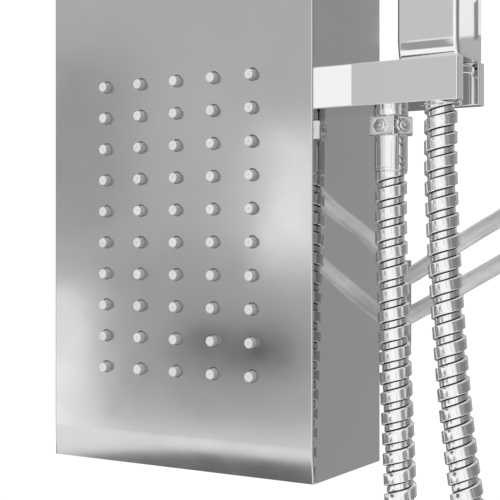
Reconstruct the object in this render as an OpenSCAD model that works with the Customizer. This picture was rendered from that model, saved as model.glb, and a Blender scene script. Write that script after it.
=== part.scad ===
// Rainfall shower column: a folded sheet-steel wall column with fifty body
// jets, a hand shower in a side holder, and a rain head on a top arm.
// X is right, Y points to the wall, Z is up; the wall is the plane y = 0 and
// the origin is the centre of the four wall-bolt holes.

/* [Column] */
// Width of the column
col_w = 150; // [146:1:220]
// Depth of the column from front face to rear flange
col_d = 70; // [66:1:95]
// Height of the column
col_h = 1200; // [1000:10:1600]
// Thickness of the folded sheet
sheet = 1.2; // [0.8:0.1:1.6]
// Outside radius of the folded front edges
fold_r = 1.6; // [1.6:0.1:3]
// Width of the rear return flanges
flange_w = 14; // [12:1:16]
// Height of the end caps' upturned lips
cap_lip = 15; // [12:1:20]

/* [Wall brackets] */
// Gap between the wall and the column's back
wall_gap = 60; // [50:1:80]
// Sideways spacing of the wall-bolt holes
bolt_dx = 80; // [60:1:90]
// Vertical spacing of the wall-bolt holes
bolt_dz = 560; // [500:10:880]
// Diameter of the wall-bolt holes
bolt_hole_d = 6.5; // [5:0.5:8]
// Height of each wall bracket
bracket_h = 60; // [50:1:80]
// Thickness of the bracket plate
bracket_t = 2.5; // [2:0.5:3]

/* [Body jets] */
// Number of jet columns
jet_cols = 5; // [3:1:5]
// Number of jet rows
jet_rows = 10; // [6:1:10]
// Sideways pitch of the jets
jet_dx = 21.2; // [18:0.1:22]
// Vertical pitch of the jets
jet_dz = 15.4; // [12:0.1:17]
// Height of the lowest jet row above the column's bottom
jet_first = 46.5; // [40:0.5:60]
// Sideways offset of the jet field
jet_shift = 1.5; // [-2:0.5:2]
// Diameter of a jet nib at the front face
jet_d = 5.4; // [4.5:0.1:6]
// How far a nib stands out of the front face
jet_proud = 4.2; // [3:0.1:6]
// Depth of the jet chamber behind the front sheet
chamber_d = 16.8; // [14:0.1:18]

/* [Controls] */
// Height of the mixer above the column's bottom
mixer_up = 430; // [400:5:460]
// Height of the diverter above the mixer
diverter_up = 130; // [120:5:160]
// Side of the square cover plates
cover_w = 70; // [64:1:80]
// Length of the mixer lever below its pivot
lever_len = 95; // [80:1:110]
// Diameter of the diverter knob
knob_d = 38; // [34:1:46]

/* [Hand shower] */
// Height of the holder's underside above the column's bottom
holder_up = 170; // [165:1:180]
// Thickness of the holder arm
holder_t = 19.4; // [19:0.1:26]
// Depth of the holder arm
holder_d = 33; // [31:0.5:38]
// Reach of the holder from the column's side
holder_len = 60.5; // [58:0.5:75]
// Thickness of the holder's base block
base_t = 9.2; // [8:0.1:12]
// Distance of the holder behind the column's front face
holder_back = 19.5; // [18:0.5:22]
// Width of the slot in the holder
slot_w = 18.6; // [17:0.1:20]
// Width of the hand shower
hand_w = 28.8; // [26:0.1:30]
// Depth of the hand shower
hand_d = 30.5; // [28:0.1:34]
// Height of the hand shower
hand_h = 215; // [190:1:260]
// Wall of the hand shower's body
hand_wall = 2.6; // [2.2:0.1:3]

/* [Hoses] */
// Outside diameter of the shower hose
hose_d = 15; // [14:0.1:15]
// Outside diameter of the supply hoses
supply_d = 8.5; // [8:0.1:9]
// Side of the square outlet nut
nut_w = 14.5; // [14:0.1:16]

/* [Rain head] */
// Height of the rain arm's centre below the column's top
arm_down = 100; // [60:1:140]
// Reach of the rain arm from the column's front to the head's centre
arm_reach = 330; // [260:5:400]
// Side of the square rain arm
arm_w = 26; // [25:1:32]
// Side of the square rain head
head_w = 220; // [180:5:300]
// Thickness of the rain head
head_t = 10; // [9:0.5:14]
// Number of nozzles along each side of the rain head
head_jets = 9; // [6:1:9]

/* [Hidden] */
$fn = 48;

steel = "lightslategray";
chrome = "silver";
brass = "goldenrod";
rubber = "dimgray";

// Clearances
run_gap = 0.05;      // turning pin or shaft, per side
fit_gap = 0.1;       // assembled piece in its seat, per side
free_gap = 0.3;      // moving faces that pass each other
hole_gap = 0.4;      // fitting through a sheet-metal hole, per side

// Planes of the column
z_bot = -col_h / 2;
z_top = col_h / 2;
y_front = -(wall_gap + col_d);
y_back = -wall_gap;
y_in = y_front + sheet;
x_side = col_w / 2;
y_pipe = y_front + holder_back + holder_d / 2;

// Controls
z_mixer = z_bot + mixer_up;
z_div = z_mixer + diverter_up;
z_arm = z_top - arm_down;
neck_r = 21;
neck_out = 6;
ring_w = 6;
ring_t = 4;
cover_t = 8;
body_r = 25;
flange_t = 4;
cart_r = 17.5;
div_r = 21;
div_neck_r = 17;
div_cart_r = 13.5;
stem_r = 5;
port_r = 11;
tube_r = 6;
tube_wall = 1;
tube_nut_r = 10;
tube_nut_h = 12;
bend_r = 16;
side_port_x = 27;
tube_x = side_port_x + bend_r;
inlet_x = 20;
inlet_drop = 48;
y_body_back = y_pipe + 16;
y_cover = y_front - cover_t;

// Hub and lever
hub_r = 22;
y_hub = y_cover - 2 * free_gap;
hub_len = 30;
y_hub_face = y_hub - hub_len;
y_pivot = y_hub_face + 10;
pin_r = 2;
tongue_w = 8;
tongue_r = 9;
lever_t = 8;
lever_w = 16;
lever_gap = 3.5;
knob_len = 26;

// Holder and hand shower
z_hold = z_bot + holder_up;
z_rest = z_hold + holder_t;
z_feed = z_hold + holder_t / 2;
x_base = x_side + base_t;
x_end = x_side + holder_len;
x_out = x_side + 21.5;
x_hand = x_end - hand_w / 2;
spigot_r = 6;
x_nut_in = x_side - sheet;
feed_end = tube_x + bend_r;
gasket_t = 1;
gasket_r = 8.5;
stub_h = 4;
stub_r = 8;
nut_h = 8.9;
nut_turn = -14.3;
sleeve_h = 16.6;
sleeve_r = 7.7;
tail_r = 5;
boss_r = 3.3;
boss_out = 1.2;
z_nut = z_hold - stub_h;
z_sleeve = z_nut - nut_h;
z_hose = z_sleeve - sleeve_h;
hand_nut_r = slot_w / 2 - 0.5;
hand_spigot_r = 6;
hand_front = y_front + holder_back;
hand_y = hand_front + hand_d / 2;
hand_win_w = hand_w - 2 * hand_wall - 6;
hand_win_h = 96;
hand_plate_t = 1.2;
z_win = z_rest + hand_h - 14 - hand_win_h;

// Body jets
jet_field_w = (jet_cols - 1) * jet_dx;
jet_field_h = (jet_rows - 1) * jet_dz;
mat_t = 2;
chamber_edge = 12;
chamber_w = jet_field_w + 2 * chamber_edge;
chamber_h = jet_field_h + 2 * chamber_edge;
chamber_wall = 3;
z_jet = z_bot + jet_first;
z_chamber = z_jet + jet_field_h / 2;
y_mat = y_in + mat_t;
y_chamber = y_in + chamber_d;
ear_w = 9;
stud_r = 2;
stud_len = 12;
stud_x = chamber_w / 2 + ear_w / 2;
stud_z = chamber_h / 2 - 20;
inlet_top = z_chamber + chamber_h / 2 - 8;

// Wall brackets
leg_x = x_side - flange_w - 2;
tab_in = leg_x;
tab_out = x_side - 2;
tab_x = x_side - flange_w / 2;
screw_r = 2;
screw_dz = 36;
cap_screw_z = 9;

// Rain arm and head
y_head = y_front - arm_reach;
arm_neck_r = 10;
arm_bore_r = arm_neck_r + run_gap;
ball_r = 10;
ball_drop = 28;
z_ball = z_arm - arm_w / 2 - ball_drop;
seat_t = 1.3;
seat_r = ball_r + fit_gap + seat_t;
socket_r = 17;
socket_h = 16;
z_head = z_ball - socket_h;
head_rim = 5;
head_corner = 8;
head_pitch = (head_w - 2 * head_rim - 24) / (head_jets - 1);

// Routes of the hoses, millimetres
hose_path = [[96.5, -94, -459.5], [96.5, -94, -485], [97.6, -94, -515], [98.8, -94, -550],
  [100.3, -94, -585], [101.6, -94, -620], [101.5, -94, -660], [98.5, -94, -700], [93, -94, -740],
  [87, -94, -780], [82.5, -94, -820], [81, -94, -860], [85, -94, -898], [96, -94, -931],
  [114, -94, -957], [137, -94, -970], [162, -94, -970], [184, -94, -957], [200, -94, -934],
  [208, -94, -902], [207, -94, -868], [200, -94, -832], [190, -94, -795], [178, -94, -758],
  [165, -94, -720], [153, -94, -682], [142.5, -94, -645], [134, -94, -608], [128.5, -94, -570],
  [125, -94, -532], [122.5, -94, -495], [121.1, -94, -460], [121.1, -94, -430]];
hot_path = [[-20, -94, -240], [-20, -94, -262], [-20.2, -93, -288], [-20.8, -91, -314],
  [-21.4, -88, -340], [-22, -85, -366], [-22.6, -82, -392], [-23.2, -78, -418], [-23.7, -73, -444],
  [-24, -68, -472], [-20, -63, -498.6], [-8.6, -58, -518.4], [9, -53.5, -533.2],
  [27.2, -50, -540.3], [45.5, -47.5, -541.9], [62.4, -46, -538.8], [75, -44.2, -533.1],
  [95, -38.7, -521.5], [115, -33.1, -509.1], [130, -29, -500], [148, -25, -488.5],
  [166, -21, -474], [180, -18, -456], [186, -16, -432], [186, -16, -408]];
cold_path = [[20, -94, -240], [20, -94, -262], [19.5, -92, -288], [18.5, -88, -314],
  [17, -83, -340], [15.5, -77, -366], [14, -71, -392], [12.5, -64, -418], [11.3, -57, -444],
  [11, -50, -475], [14.8, -45, -492.3], [25.6, -40, -506.4], [41.4, -34, -514.6],
  [55.6, -29.5, -515.8], [72.5, -24.5, -510.3], [84, -20, -502.8], [95, -16.5, -494.8],
  [108, -12, -486], [122, -9, -477.2], [135, -8, -467], [144, -9, -454], [149, -13, -440],
  [150, -16, -424], [150, -16, -408]];
ferrule_r = 6.5;
ferrule_h = 22;
union_r = 13.5;
union_h = 20;
union_bore_r = 9.3;
union_seat_r = 8.9;
union_seat_top = 5.2;
clip_t = 4;
clip_room = 2.2;
clip_cold = [0, -25.3, -511.5];
clip_hot = [0, -44.9, -535.4];
clip_x = 70;

// Helpers
module y_cyl(r, y0, y1) translate([0, y0, 0]) rotate([-90, 0, 0]) cylinder(r = r, h = y1 - y0);
module y_cone(r0, r1, y0, y1) translate([0, y0, 0]) rotate([-90, 0, 0])
  cylinder(r1 = r0, r2 = r1, h = y1 - y0);
module x_cyl(r, x0, x1) translate([x0, 0, 0]) rotate([0, 90, 0]) cylinder(r = r, h = x1 - x0);
module z_cyl(r, z0, z1) translate([0, 0, z0]) cylinder(r = r, h = z1 - z0);
module span(a, b) translate(a) cube(b - a);
module round_rect(w, d, r) {
  square([w - 2 * r, d], center = true);
  square([w, d - 2 * r], center = true);
  for (sx = [-1, 1], sy = [-1, 1]) translate([sx * (w / 2 - r), sy * (d / 2 - r)]) circle(r);
}
module jet_places() for (i = [0 : jet_cols - 1], j = [0 : jet_rows - 1])
  translate([jet_shift + (i - (jet_cols - 1) / 2) * jet_dx, 0, z_jet + j * jet_dz]) children();
module at_mixer() translate([0, 0, z_mixer]) children();
module at_diverter() translate([0, 0, z_div]) children();
module stud_places() for (sx = [-1, 1], sz = [-1, 1])
  translate([jet_shift + sx * stud_x, 0, z_chamber + sz * stud_z]) children();
module bracket_screw_places() for (sx = [-1, 1], sz = [-1, 1], b = [-1, 1])
  translate([sx * tab_x, 0, b * bolt_dz / 2 + sz * screw_dz / 2]) children();
module cap_screw_places() for (sx = [-1, 1], e = [-1, 1])
  translate([sx * tab_x, 0, e * (col_h / 2 - cap_screw_z)]) children();
function unit(v) = v / norm(v);
function tangent(p, i) = unit(p[min(i + 1, len(p) - 1)] - p[max(i - 1, 0)]);
function ring_at(p, i, r, n) = let (t = tangent(p, i), a = unit(cross([0, 1, 0], t)), b = cross(t, a))
  [for (k = [0 : n - 1]) p[i] + r * (cos(360 * k / n) * a + sin(360 * k / n) * b)];
module hose_tube(p, r, n) {
  m = len(p);
  points = [for (i = [0 : m - 1]) each ring_at(p, i, r, n)];
  sides = [for (i = [0 : m - 2], k = [0 : n - 1])
    [(i + 1) * n + k, (i + 1) * n + (k + 1) % n, i * n + (k + 1) % n, i * n + k]];
  start = [for (k = [0 : n - 1]) k];
  finish = [for (k = [n - 1 : -1 : 0]) (m - 1) * n + k];
  polyhedron(points, concat(sides, [start, finish]), convexity = 8);
}

// Casing and its ends
module casing_outline() difference() {
  translate([0, (y_front + y_back) / 2]) round_rect(col_w, col_d, fold_r);
  translate([0, (y_front + y_back) / 2]) round_rect(col_w - 2 * sheet, col_d - 2 * sheet, fold_r - sheet + 0.2);
  translate([-(x_side - flange_w), y_back - sheet - 1]) square([2 * (x_side - flange_w), sheet + 2]);
}
module casing() color(chrome) difference() {
  translate([0, 0, z_bot]) linear_extrude(col_h) casing_outline();
  jet_places() y_cyl(jet_d / 2 + free_gap, y_front - 1, y_in + 1);
  at_mixer() y_cyl(neck_r + hole_gap, y_front - 1, y_in + 1);
  at_diverter() y_cyl(div_neck_r + hole_gap, y_front - 1, y_in + 1);
  translate([0, 0, z_arm]) y_cyl(arm_neck_r + hole_gap, y_front - 1, y_in + 1);
  translate([0, y_pipe, z_feed]) x_cyl(spigot_r + hole_gap, x_side - sheet - 1, x_side + 1);
  bracket_screw_places() y_cyl(screw_r + fit_gap, y_back - sheet - 1, y_back + 1);
  cap_screw_places() y_cyl(screw_r + fit_gap, y_back - sheet - 1, y_back + 1);
}
module end_cap() {
  w = x_side - sheet - 2 * fit_gap;
  difference() {
    union() {
      span([-w, y_in + 2 * fit_gap, 0], [w, y_back - sheet, sheet]);
      for (s = [-1, 1]) translate([s * tab_x, 0, 0])
        span([-flange_w / 2 + 2, y_back - 2 * sheet, 0], [flange_w / 2 - 2, y_back - sheet, cap_lip]);
    }
    for (s = [-1, 1]) translate([s * tab_x, 0, cap_screw_z])
      y_cyl(screw_r, y_back - 2 * sheet - 1, y_back);
  }
}
module bottom_cap() color(steel) translate([0, 0, z_bot]) end_cap();
module top_cap() color(steel) translate([0, 0, z_top]) mirror([0, 0, 1]) end_cap();
module cap_screws() color(chrome) cap_screw_places() {
  y_cyl(screw_r, y_back - 2 * sheet - 3, y_back);
  y_cyl(3.5, y_back, y_back + 2);
}

// Wall brackets
module bracket() color(steel) difference() {
  union() {
    span([-leg_x, -bracket_t, -bracket_h / 2], [leg_x, 0, bracket_h / 2]);
    for (s = [-1, 1]) mirror([s > 0 ? 0 : 1, 0, 0]) {
      span([leg_x - bracket_t, y_back, -bracket_h / 2], [leg_x, 0, bracket_h / 2]);
      span([leg_x - bracket_t, y_back, -bracket_h / 2], [tab_out, y_back + bracket_t, bracket_h / 2]);
    }
  }
  for (s = [-1, 1]) {
    translate([s * bolt_dx / 2, 0, 0]) y_cyl(bolt_hole_d / 2, -bracket_t - 1, 1);
    for (e = [-1, 1]) translate([s * tab_x, 0, e * screw_dz / 2])
      y_cyl(screw_r + fit_gap, y_back - 1, y_back + bracket_t + 1);
  }
}
module bracket_upper() translate([0, 0, bolt_dz / 2]) bracket();
module bracket_lower() translate([0, 0, -bolt_dz / 2]) bracket();
module bracket_screws() color(chrome) bracket_screw_places() {
  y_cyl(screw_r, y_back - sheet - 5, y_back + bracket_t);
  y_cyl(3.5, y_back + bracket_t, y_back + bracket_t + 2.5);
}
module bracket_nuts() color(steel) bracket_screw_places() difference() {
  span([-4, y_back - sheet - 3.2, -4], [4, y_back - sheet, 4]);
  y_cyl(screw_r + run_gap, y_back - sheet - 4, y_back);
}

// Body jets
module jet_mat() color("lightgray") difference() {
  union() {
    translate([jet_shift, 0, z_chamber])
      span([-chamber_w / 2, y_in, -chamber_h / 2], [chamber_w / 2, y_mat, chamber_h / 2]);
    jet_places() y_cone(jet_d / 2 - 0.3, jet_d / 2, y_front - jet_proud, y_in);
  }
  jet_places() y_cyl(0.6, y_front - jet_proud - 1, y_mat + 1);
}
module jet_chamber() color("dimgray") difference() {
  union() {
    translate([jet_shift, 0, z_chamber]) {
      span([-chamber_w / 2, y_mat, -chamber_h / 2], [chamber_w / 2, y_chamber, chamber_h / 2]);
      for (sx = [-1, 1], sz = [-1, 1]) translate([sx * stud_x, 0, sz * stud_z])
        span([-ear_w / 2 - 1, y_mat, -6], [ear_w / 2 + 1, y_mat + 4, 6]);
    }
    span([-tube_x - 9, y_chamber - 1, inlet_top - 26], [-tube_x + 9, y_pipe + 9, inlet_top]);
  }
  translate([jet_shift, 0, z_chamber])
    span([-chamber_w / 2 + chamber_wall, y_mat - 1, -chamber_h / 2 + chamber_wall],
      [chamber_w / 2 - chamber_wall, y_chamber - chamber_wall, chamber_h / 2 - chamber_wall]);
  translate([-tube_x, 0, inlet_top - 13]) y_cyl(4, y_chamber - chamber_wall - 1, y_pipe);
  translate([-tube_x, y_pipe, 0]) z_cyl(4, inlet_top - 17, inlet_top + 1);
  stud_places() y_cyl(stud_r + hole_gap, y_mat - 1, y_mat + 5);
}
module chamber_studs() color(steel) stud_places() {
  y_cyl(stud_r, y_in, y_in + stud_len);
  y_cyl(3.2, y_in, y_in + 1);
}
module chamber_nuts() color(steel) stud_places() difference() {
  translate([0, y_mat + 4, 0]) rotate([-90, 0, 0]) cylinder(r = 4, h = 3.2, $fn = 6);
  y_cyl(stud_r + run_gap, y_mat + 3, y_mat + 8);
}

// Valve bodies: a barrel along Y, a threaded neck through the sheet, and ports
module barrel(r, neck) {
  y_cyl(r, y_in + flange_t, y_body_back);
  y_cyl(r + 2, y_in, y_in + flange_t);
  y_cyl(neck, y_front - neck_out, y_in + 1);
}
module mixer_body() color(brass) at_mixer() difference() {
  union() {
    barrel(body_r, neck_r);
    translate([0, y_pipe, 0]) z_cyl(port_r, 0, body_r + 9);
    for (s = [-1, 1]) translate([s * inlet_x, y_pipe, 0]) z_cyl(9, -inlet_drop, 0);
  }
  y_cyl(cart_r + fit_gap, y_front - neck_out - 1, y_pipe + 4);
  translate([0, y_pipe, 0]) z_cyl(tube_r - tube_wall, 0, body_r + 10);
  for (s = [-1, 1]) translate([s * inlet_x, y_pipe, 0]) {
    z_cyl(3.5, -inlet_drop - 1, -10);
    z_cyl(5.5, -inlet_drop - 1, -30);
  }
}
module check_valves() color("white") at_mixer() for (s = [-1, 1])
  translate([s * inlet_x, y_pipe, 0]) difference() {
    z_cyl(5.5 - fit_gap, -44, -30);
    z_cyl(2.5, -45, -33);
  }
module cartridge(r) difference() {
  y_cyl(r, y_front - neck_out, y_pipe + 3);
  y_cyl(stem_r + run_gap, y_front - neck_out - 1, y_in + 12);
}
module mixer_cartridge() color("white") at_mixer() cartridge(cart_r);
module lock_ring(neck) difference() {
  y_cyl(neck + ring_w, y_front - ring_t, y_front);
  y_cyl(neck + run_gap, y_front - ring_t - 1, y_front + 1);
}
module mixer_ring() color(brass) at_mixer() lock_ring(neck_r);
module cover(neck) difference() {
  span([-cover_w / 2, y_cover, -cover_w / 2], [cover_w / 2, y_front, cover_w / 2]);
  span([-cover_w / 2 + 2, y_cover + 2, -cover_w / 2 + 2], [cover_w / 2 - 2, y_front + 1, cover_w / 2 - 2]);
  y_cyl(neck + fit_gap, y_cover - 1, y_front);
}
module mixer_cover() color(chrome) at_mixer() cover(neck_r);
module diverter_body() color(brass) at_diverter() difference() {
  union() {
    barrel(div_r, div_neck_r);
    translate([0, y_pipe, 0]) {
      z_cyl(port_r, -div_r - 9, div_r + 9);
      x_cyl(9, -side_port_x, side_port_x);
    }
  }
  y_cyl(div_cart_r + fit_gap, y_front - neck_out - 1, y_pipe + 4);
  translate([0, y_pipe, 0]) {
    z_cyl(tube_r - tube_wall, -div_r - 10, div_r + 10);
    x_cyl(tube_r - tube_wall, -side_port_x - 1, side_port_x + 1);
  }
}
module diverter_cartridge() color("white") at_diverter() cartridge(div_cart_r);
module diverter_ring() color(brass) at_diverter() lock_ring(div_neck_r);
module diverter_cover() color(chrome) at_diverter() cover(div_neck_r);

// Water tubes and their nuts
module z_tube(z0, z1) difference() {
  z_cyl(tube_r, z0, z1);
  z_cyl(tube_r - tube_wall, z0 - 1, z1 + 1);
}
module link_tube() color(brass) translate([0, y_pipe, 0])
  z_tube(z_mixer + body_r + 9, z_div - div_r - 9);
module riser_tube() color(brass) translate([0, y_pipe, 0])
  z_tube(z_div + div_r + 9, z_arm - 24);
module tube_bend(start_angle) rotate([90, 0, 0]) rotate([0, 0, start_angle])
  rotate_extrude(angle = 90) translate([bend_r, 0]) difference() {
    circle(tube_r);
    circle(tube_r - tube_wall);
  }
module jet_feed_tube() color(brass) translate([-tube_x, y_pipe, 0]) {
  z_tube(inlet_top, z_div - bend_r);
  translate([bend_r, 0, z_div - bend_r]) tube_bend(90);
}
module hand_feed_tube() color(brass) translate([tube_x, y_pipe, 0]) {
  z_tube(z_feed + bend_r, z_div - bend_r);
  translate([-bend_r, 0, z_div - bend_r]) tube_bend(0);
  translate([bend_r, 0, z_feed + bend_r]) tube_bend(180);
}
module tube_nut(z) difference() {
  z_cyl(tube_nut_r, z, z + tube_nut_h);
  z_cyl(tube_r + run_gap, z - 1, z + tube_nut_h + 1);
}
module tube_nuts() color(brass) {
  translate([0, y_pipe, 0]) {
    tube_nut(z_mixer + body_r + 9);
    tube_nut(z_div - div_r - 9 - tube_nut_h);
    tube_nut(z_div + div_r + 9);
    tube_nut(z_arm - 24 - tube_nut_h);
  }
  translate([-tube_x, y_pipe, 0]) tube_nut(inlet_top);
}

// Hand-shower holder
module holder_block(x0, x1) span([x0, y_pipe - holder_d / 2, z_hold], [x1, y_pipe + holder_d / 2, z_rest]);
module holder_base() color(chrome) difference() {
  holder_block(x_side, x_base);
  translate([0, y_pipe, z_feed]) {
    x_cyl(spigot_r + run_gap, x_side - 1, x_base + 1);
    x_cyl(gasket_r + fit_gap, x_side - 1, x_side + gasket_t);
  }
}
module holder_gasket() color(rubber) translate([0, y_pipe, z_feed]) difference() {
  x_cyl(gasket_r, x_side, x_side + gasket_t);
  x_cyl(spigot_r + run_gap, x_side - 1, x_side + gasket_t + 1);
}
module holder_arm() color(chrome) difference() {
  holder_block(x_base, x_end);
  translate([0, y_pipe, z_feed]) {
    x_cyl(spigot_r - 0.5, x_base - 1, x_base + 6);
    x_cyl(3.5, x_base - 1, x_out);
  }
  translate([x_out, y_pipe, 0]) {
    z_cyl(3.5, z_hold - 1, z_feed);
    z_cyl(hand_spigot_r, z_hold - 1, z_hold + 5);
  }
  translate([x_hand, y_pipe, 0]) {
    z_cyl(slot_w / 2, z_hold - 1, z_rest + 1);
    span([0, -slot_w / 2, z_hold - 1], [holder_len, slot_w / 2, z_rest + 1]);
  }
}
module holder_spigot() color(brass) translate([0, y_pipe, z_feed]) difference() {
  union() {
    x_cyl(spigot_r, feed_end, x_base);
    x_cyl(spigot_r - 0.5, x_base, x_base + 6);
  }
  x_cyl(3.5, feed_end - 1, x_base + 7);
}
module holder_back_nut() color(brass) translate([0, y_pipe, z_feed]) difference() {
  x_cyl(13, x_nut_in - 8, x_nut_in);
  x_cyl(spigot_r + run_gap, x_nut_in - 9, x_nut_in + 1);
}

// Hose outlet under the holder
module outlet_stub() color(chrome) translate([x_out, y_pipe, 0]) difference() {
  union() {
    z_cyl(stub_r, z_nut, z_hold);
    z_cyl(hand_spigot_r, z_hold, z_hold + 5);
    z_cyl(tail_r, z_sleeve, z_nut);
  }
  z_cyl(3.5, z_sleeve - 1, z_hold + 6);
}
module outlet_nut() color(chrome) translate([x_out, y_pipe, 0]) difference() {
  rotate([0, 0, nut_turn]) union() {
    span([-nut_w / 2, -nut_w / 2, z_sleeve], [nut_w / 2, nut_w / 2, z_nut]);
    for (a = [0 : 90 : 270]) rotate([0, 0, a]) translate([0, 0, z_sleeve + nut_h / 2])
      x_cyl(boss_r, 0, nut_w / 2 + boss_out);
  }
  z_cyl(tail_r + run_gap, z_sleeve - 1, z_nut + 1);
}
module outlet_sleeve() color(chrome) translate([x_out, y_pipe, 0]) z_cyl(sleeve_r, z_hose, z_sleeve);
module shower_hose() color("gainsboro") hose_tube(hose_path, hose_d / 2, 12);

// Hand shower
module hand_nut() color(chrome) translate([x_hand, y_pipe, 0]) difference() {
  z_cyl(hand_nut_r, z_hold, z_rest);
  z_cyl(hand_spigot_r, z_rest - 12, z_rest + 1);
}
module hand_spigot() color(brass) translate([x_hand, y_pipe, 0]) difference() {
  z_cyl(hand_spigot_r, z_rest - 12, z_rest + hand_wall + 8);
  z_cyl(4, z_rest - 13, z_rest + hand_wall + 9);
}
module hand_body() color(chrome) difference() {
  translate([x_hand, hand_y, z_rest]) linear_extrude(hand_h) round_rect(hand_w, hand_d, 2);
  translate([x_hand, hand_y, z_rest + hand_wall]) linear_extrude(hand_h - 2 * hand_wall)
    round_rect(hand_w - 2 * hand_wall, hand_d - 2 * hand_wall, 1);
  translate([x_hand, y_pipe, 0]) z_cyl(hand_spigot_r, z_rest - 1, z_rest + hand_wall + 1);
  span([x_hand - hand_win_w / 2, hand_front - 1, z_win], [x_hand + hand_win_w / 2, hand_y, z_win + hand_win_h]);
  span([x_hand - hand_win_w / 2 - 2, hand_front - 1, z_win - 2],
    [x_hand + hand_win_w / 2 + 2, hand_front + hand_plate_t, z_win + hand_win_h + 2]);
}
module hand_nib_places() for (i = [-1 : 1], j = [0 : 8])
  translate([x_hand + i * 5, 0, z_win + hand_win_h / 2 + (j - 4) * 10]) children();
module hand_plate() color(chrome) difference() {
  span([x_hand - hand_win_w / 2 - 2 + fit_gap, hand_front, z_win - 2 + fit_gap],
    [x_hand + hand_win_w / 2 + 2 - fit_gap, hand_front + hand_plate_t, z_win + hand_win_h + 2 - fit_gap]);
  hand_nib_places() y_cyl(1.6, hand_front - 1, hand_front + hand_plate_t + 1);
}
module hand_nibs() color("lightgray") difference() {
  union() {
    span([x_hand - hand_win_w / 2 + fit_gap, hand_front + hand_plate_t, z_win + fit_gap],
      [x_hand + hand_win_w / 2 - fit_gap, hand_front + hand_plate_t + 2, z_win + hand_win_h - fit_gap]);
    hand_nib_places() y_cone(1.1, 1.5, hand_front - 1.5, hand_front + hand_plate_t);
  }
  hand_nib_places() y_cyl(0.5, hand_front - 3, hand_front + hand_plate_t + 3);
}

// Supply hoses
module supply_hose_hot() color("gray") hose_tube(hot_path, supply_d / 2, 10);
module supply_hose_cold() color("gray") hose_tube(cold_path, supply_d / 2, 10);
module supply_ferrules() color(chrome) {
  for (s = [-1, 1]) translate([s * inlet_x, y_pipe, 0])
    z_cyl(ferrule_r, z_mixer - inlet_drop - ferrule_h, z_mixer - inlet_drop);
  for (p = [hot_path, cold_path]) translate(p[len(p) - 1]) {
    z_cyl(ferrule_r, 0, ferrule_h);
    z_cyl(8.5, ferrule_h, ferrule_h + 3);
  }
}
module union_nut() translate([0, 0, ferrule_h - 2]) difference() {
  cylinder(r = union_r, h = union_h, $fn = 6);
  z_cyl(union_bore_r, union_seat_top, union_h + 1);
  z_cyl(union_seat_r, 2, union_seat_top + 1);
  z_cyl(ferrule_r + fit_gap, -1, 3);
}
module supply_nut_hot() color(chrome) translate(hot_path[len(hot_path) - 1]) union_nut();
module supply_nut_cold() color(chrome) translate(cold_path[len(cold_path) - 1]) union_nut();
module hose_clip() color(steel) difference() {
  span([clip_x - clip_t / 2, y_back, -546], [clip_x + clip_t / 2, -15, -501]);
  for (c = [clip_hot, clip_cold]) translate(c)
    x_cyl(supply_d / 2 + clip_room, clip_x - clip_t, clip_x + clip_t);
}

// Rain arm
module arm_elbow() color(brass) difference() {
  translate([0, 0, z_arm]) {
    y_cyl(arm_neck_r, y_front - ring_t - 12, y_in + 1);
    y_cyl(arm_neck_r + 5, y_in, y_pipe + 12);
    translate([0, y_pipe, 0]) z_cyl(port_r, -24, 0);
  }
  translate([0, 0, z_arm]) {
    y_cyl(6, y_front - ring_t - 13, y_pipe);
    translate([0, y_pipe, 0]) z_cyl(tube_r - tube_wall, -25, 0);
  }
}
module arm_ring() color(brass) translate([0, 0, z_arm]) difference() {
  y_cyl(arm_neck_r + ring_w, y_front - ring_t, y_front);
  y_cyl(arm_neck_r + run_gap, y_front - ring_t - 1, y_front + 1);
}
module arm_cover() color(chrome) translate([0, 0, z_arm]) difference() {
  span([-cover_w / 2 + 5, y_cover, -cover_w / 2 + 5], [cover_w / 2 - 5, y_front, cover_w / 2 - 5]);
  span([-cover_w / 2 + 7, y_cover + 2, -cover_w / 2 + 7], [cover_w / 2 - 7, y_front + 1, cover_w / 2 - 7]);
  span([-arm_w / 2 - fit_gap, y_cover - 1, -arm_w / 2 - fit_gap], [arm_w / 2 + fit_gap, y_front, arm_w / 2 + fit_gap]);
}
module rain_arm() color(chrome) translate([0, 0, z_arm]) difference() {
  span([-arm_w / 2, y_head - arm_w / 2 - 4, -arm_w / 2], [arm_w / 2, y_front - ring_t, arm_w / 2]);
  y_cyl(7, y_head, y_front);
  y_cyl(arm_bore_r, y_front - ring_t - 12, y_front);
  translate([0, y_head, 0]) {
    z_cyl(5, -arm_w, 0);
    z_cyl(stem_r + 2, -arm_w, -arm_w / 2 + 5);
  }
}
module ball_stem() color(chrome) translate([0, y_head, 0]) difference() {
  union() {
    z_cyl(stem_r + 2, z_arm - arm_w / 2, z_arm - arm_w / 2 + 5);
    z_cyl(arm_w / 2 - 1, z_arm - arm_w / 2 - 8, z_arm - arm_w / 2);
    z_cyl(stem_r + 1, z_ball, z_arm - arm_w / 2 - 7);
    translate([0, 0, z_ball]) sphere(ball_r);
  }
  z_cyl(3.5, z_ball - ball_r - 1, z_arm);
}
module ball_seat() color("white") translate([0, y_head, z_ball]) rotate_extrude() difference() {
  intersection() {
    circle(seat_r - fit_gap);
    translate([0, -5]) square([seat_r, 9]);
  }
  circle(ball_r + run_gap);
}
module head_socket() color(chrome) translate([0, y_head, z_ball]) rotate_extrude() difference() {
  translate([0, -socket_h]) square([socket_r, socket_h + 7.5]);
  circle(seat_r);
  square([9.4, 20]);
  translate([0, -socket_h - 1]) square([5, socket_h]);
}
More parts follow.
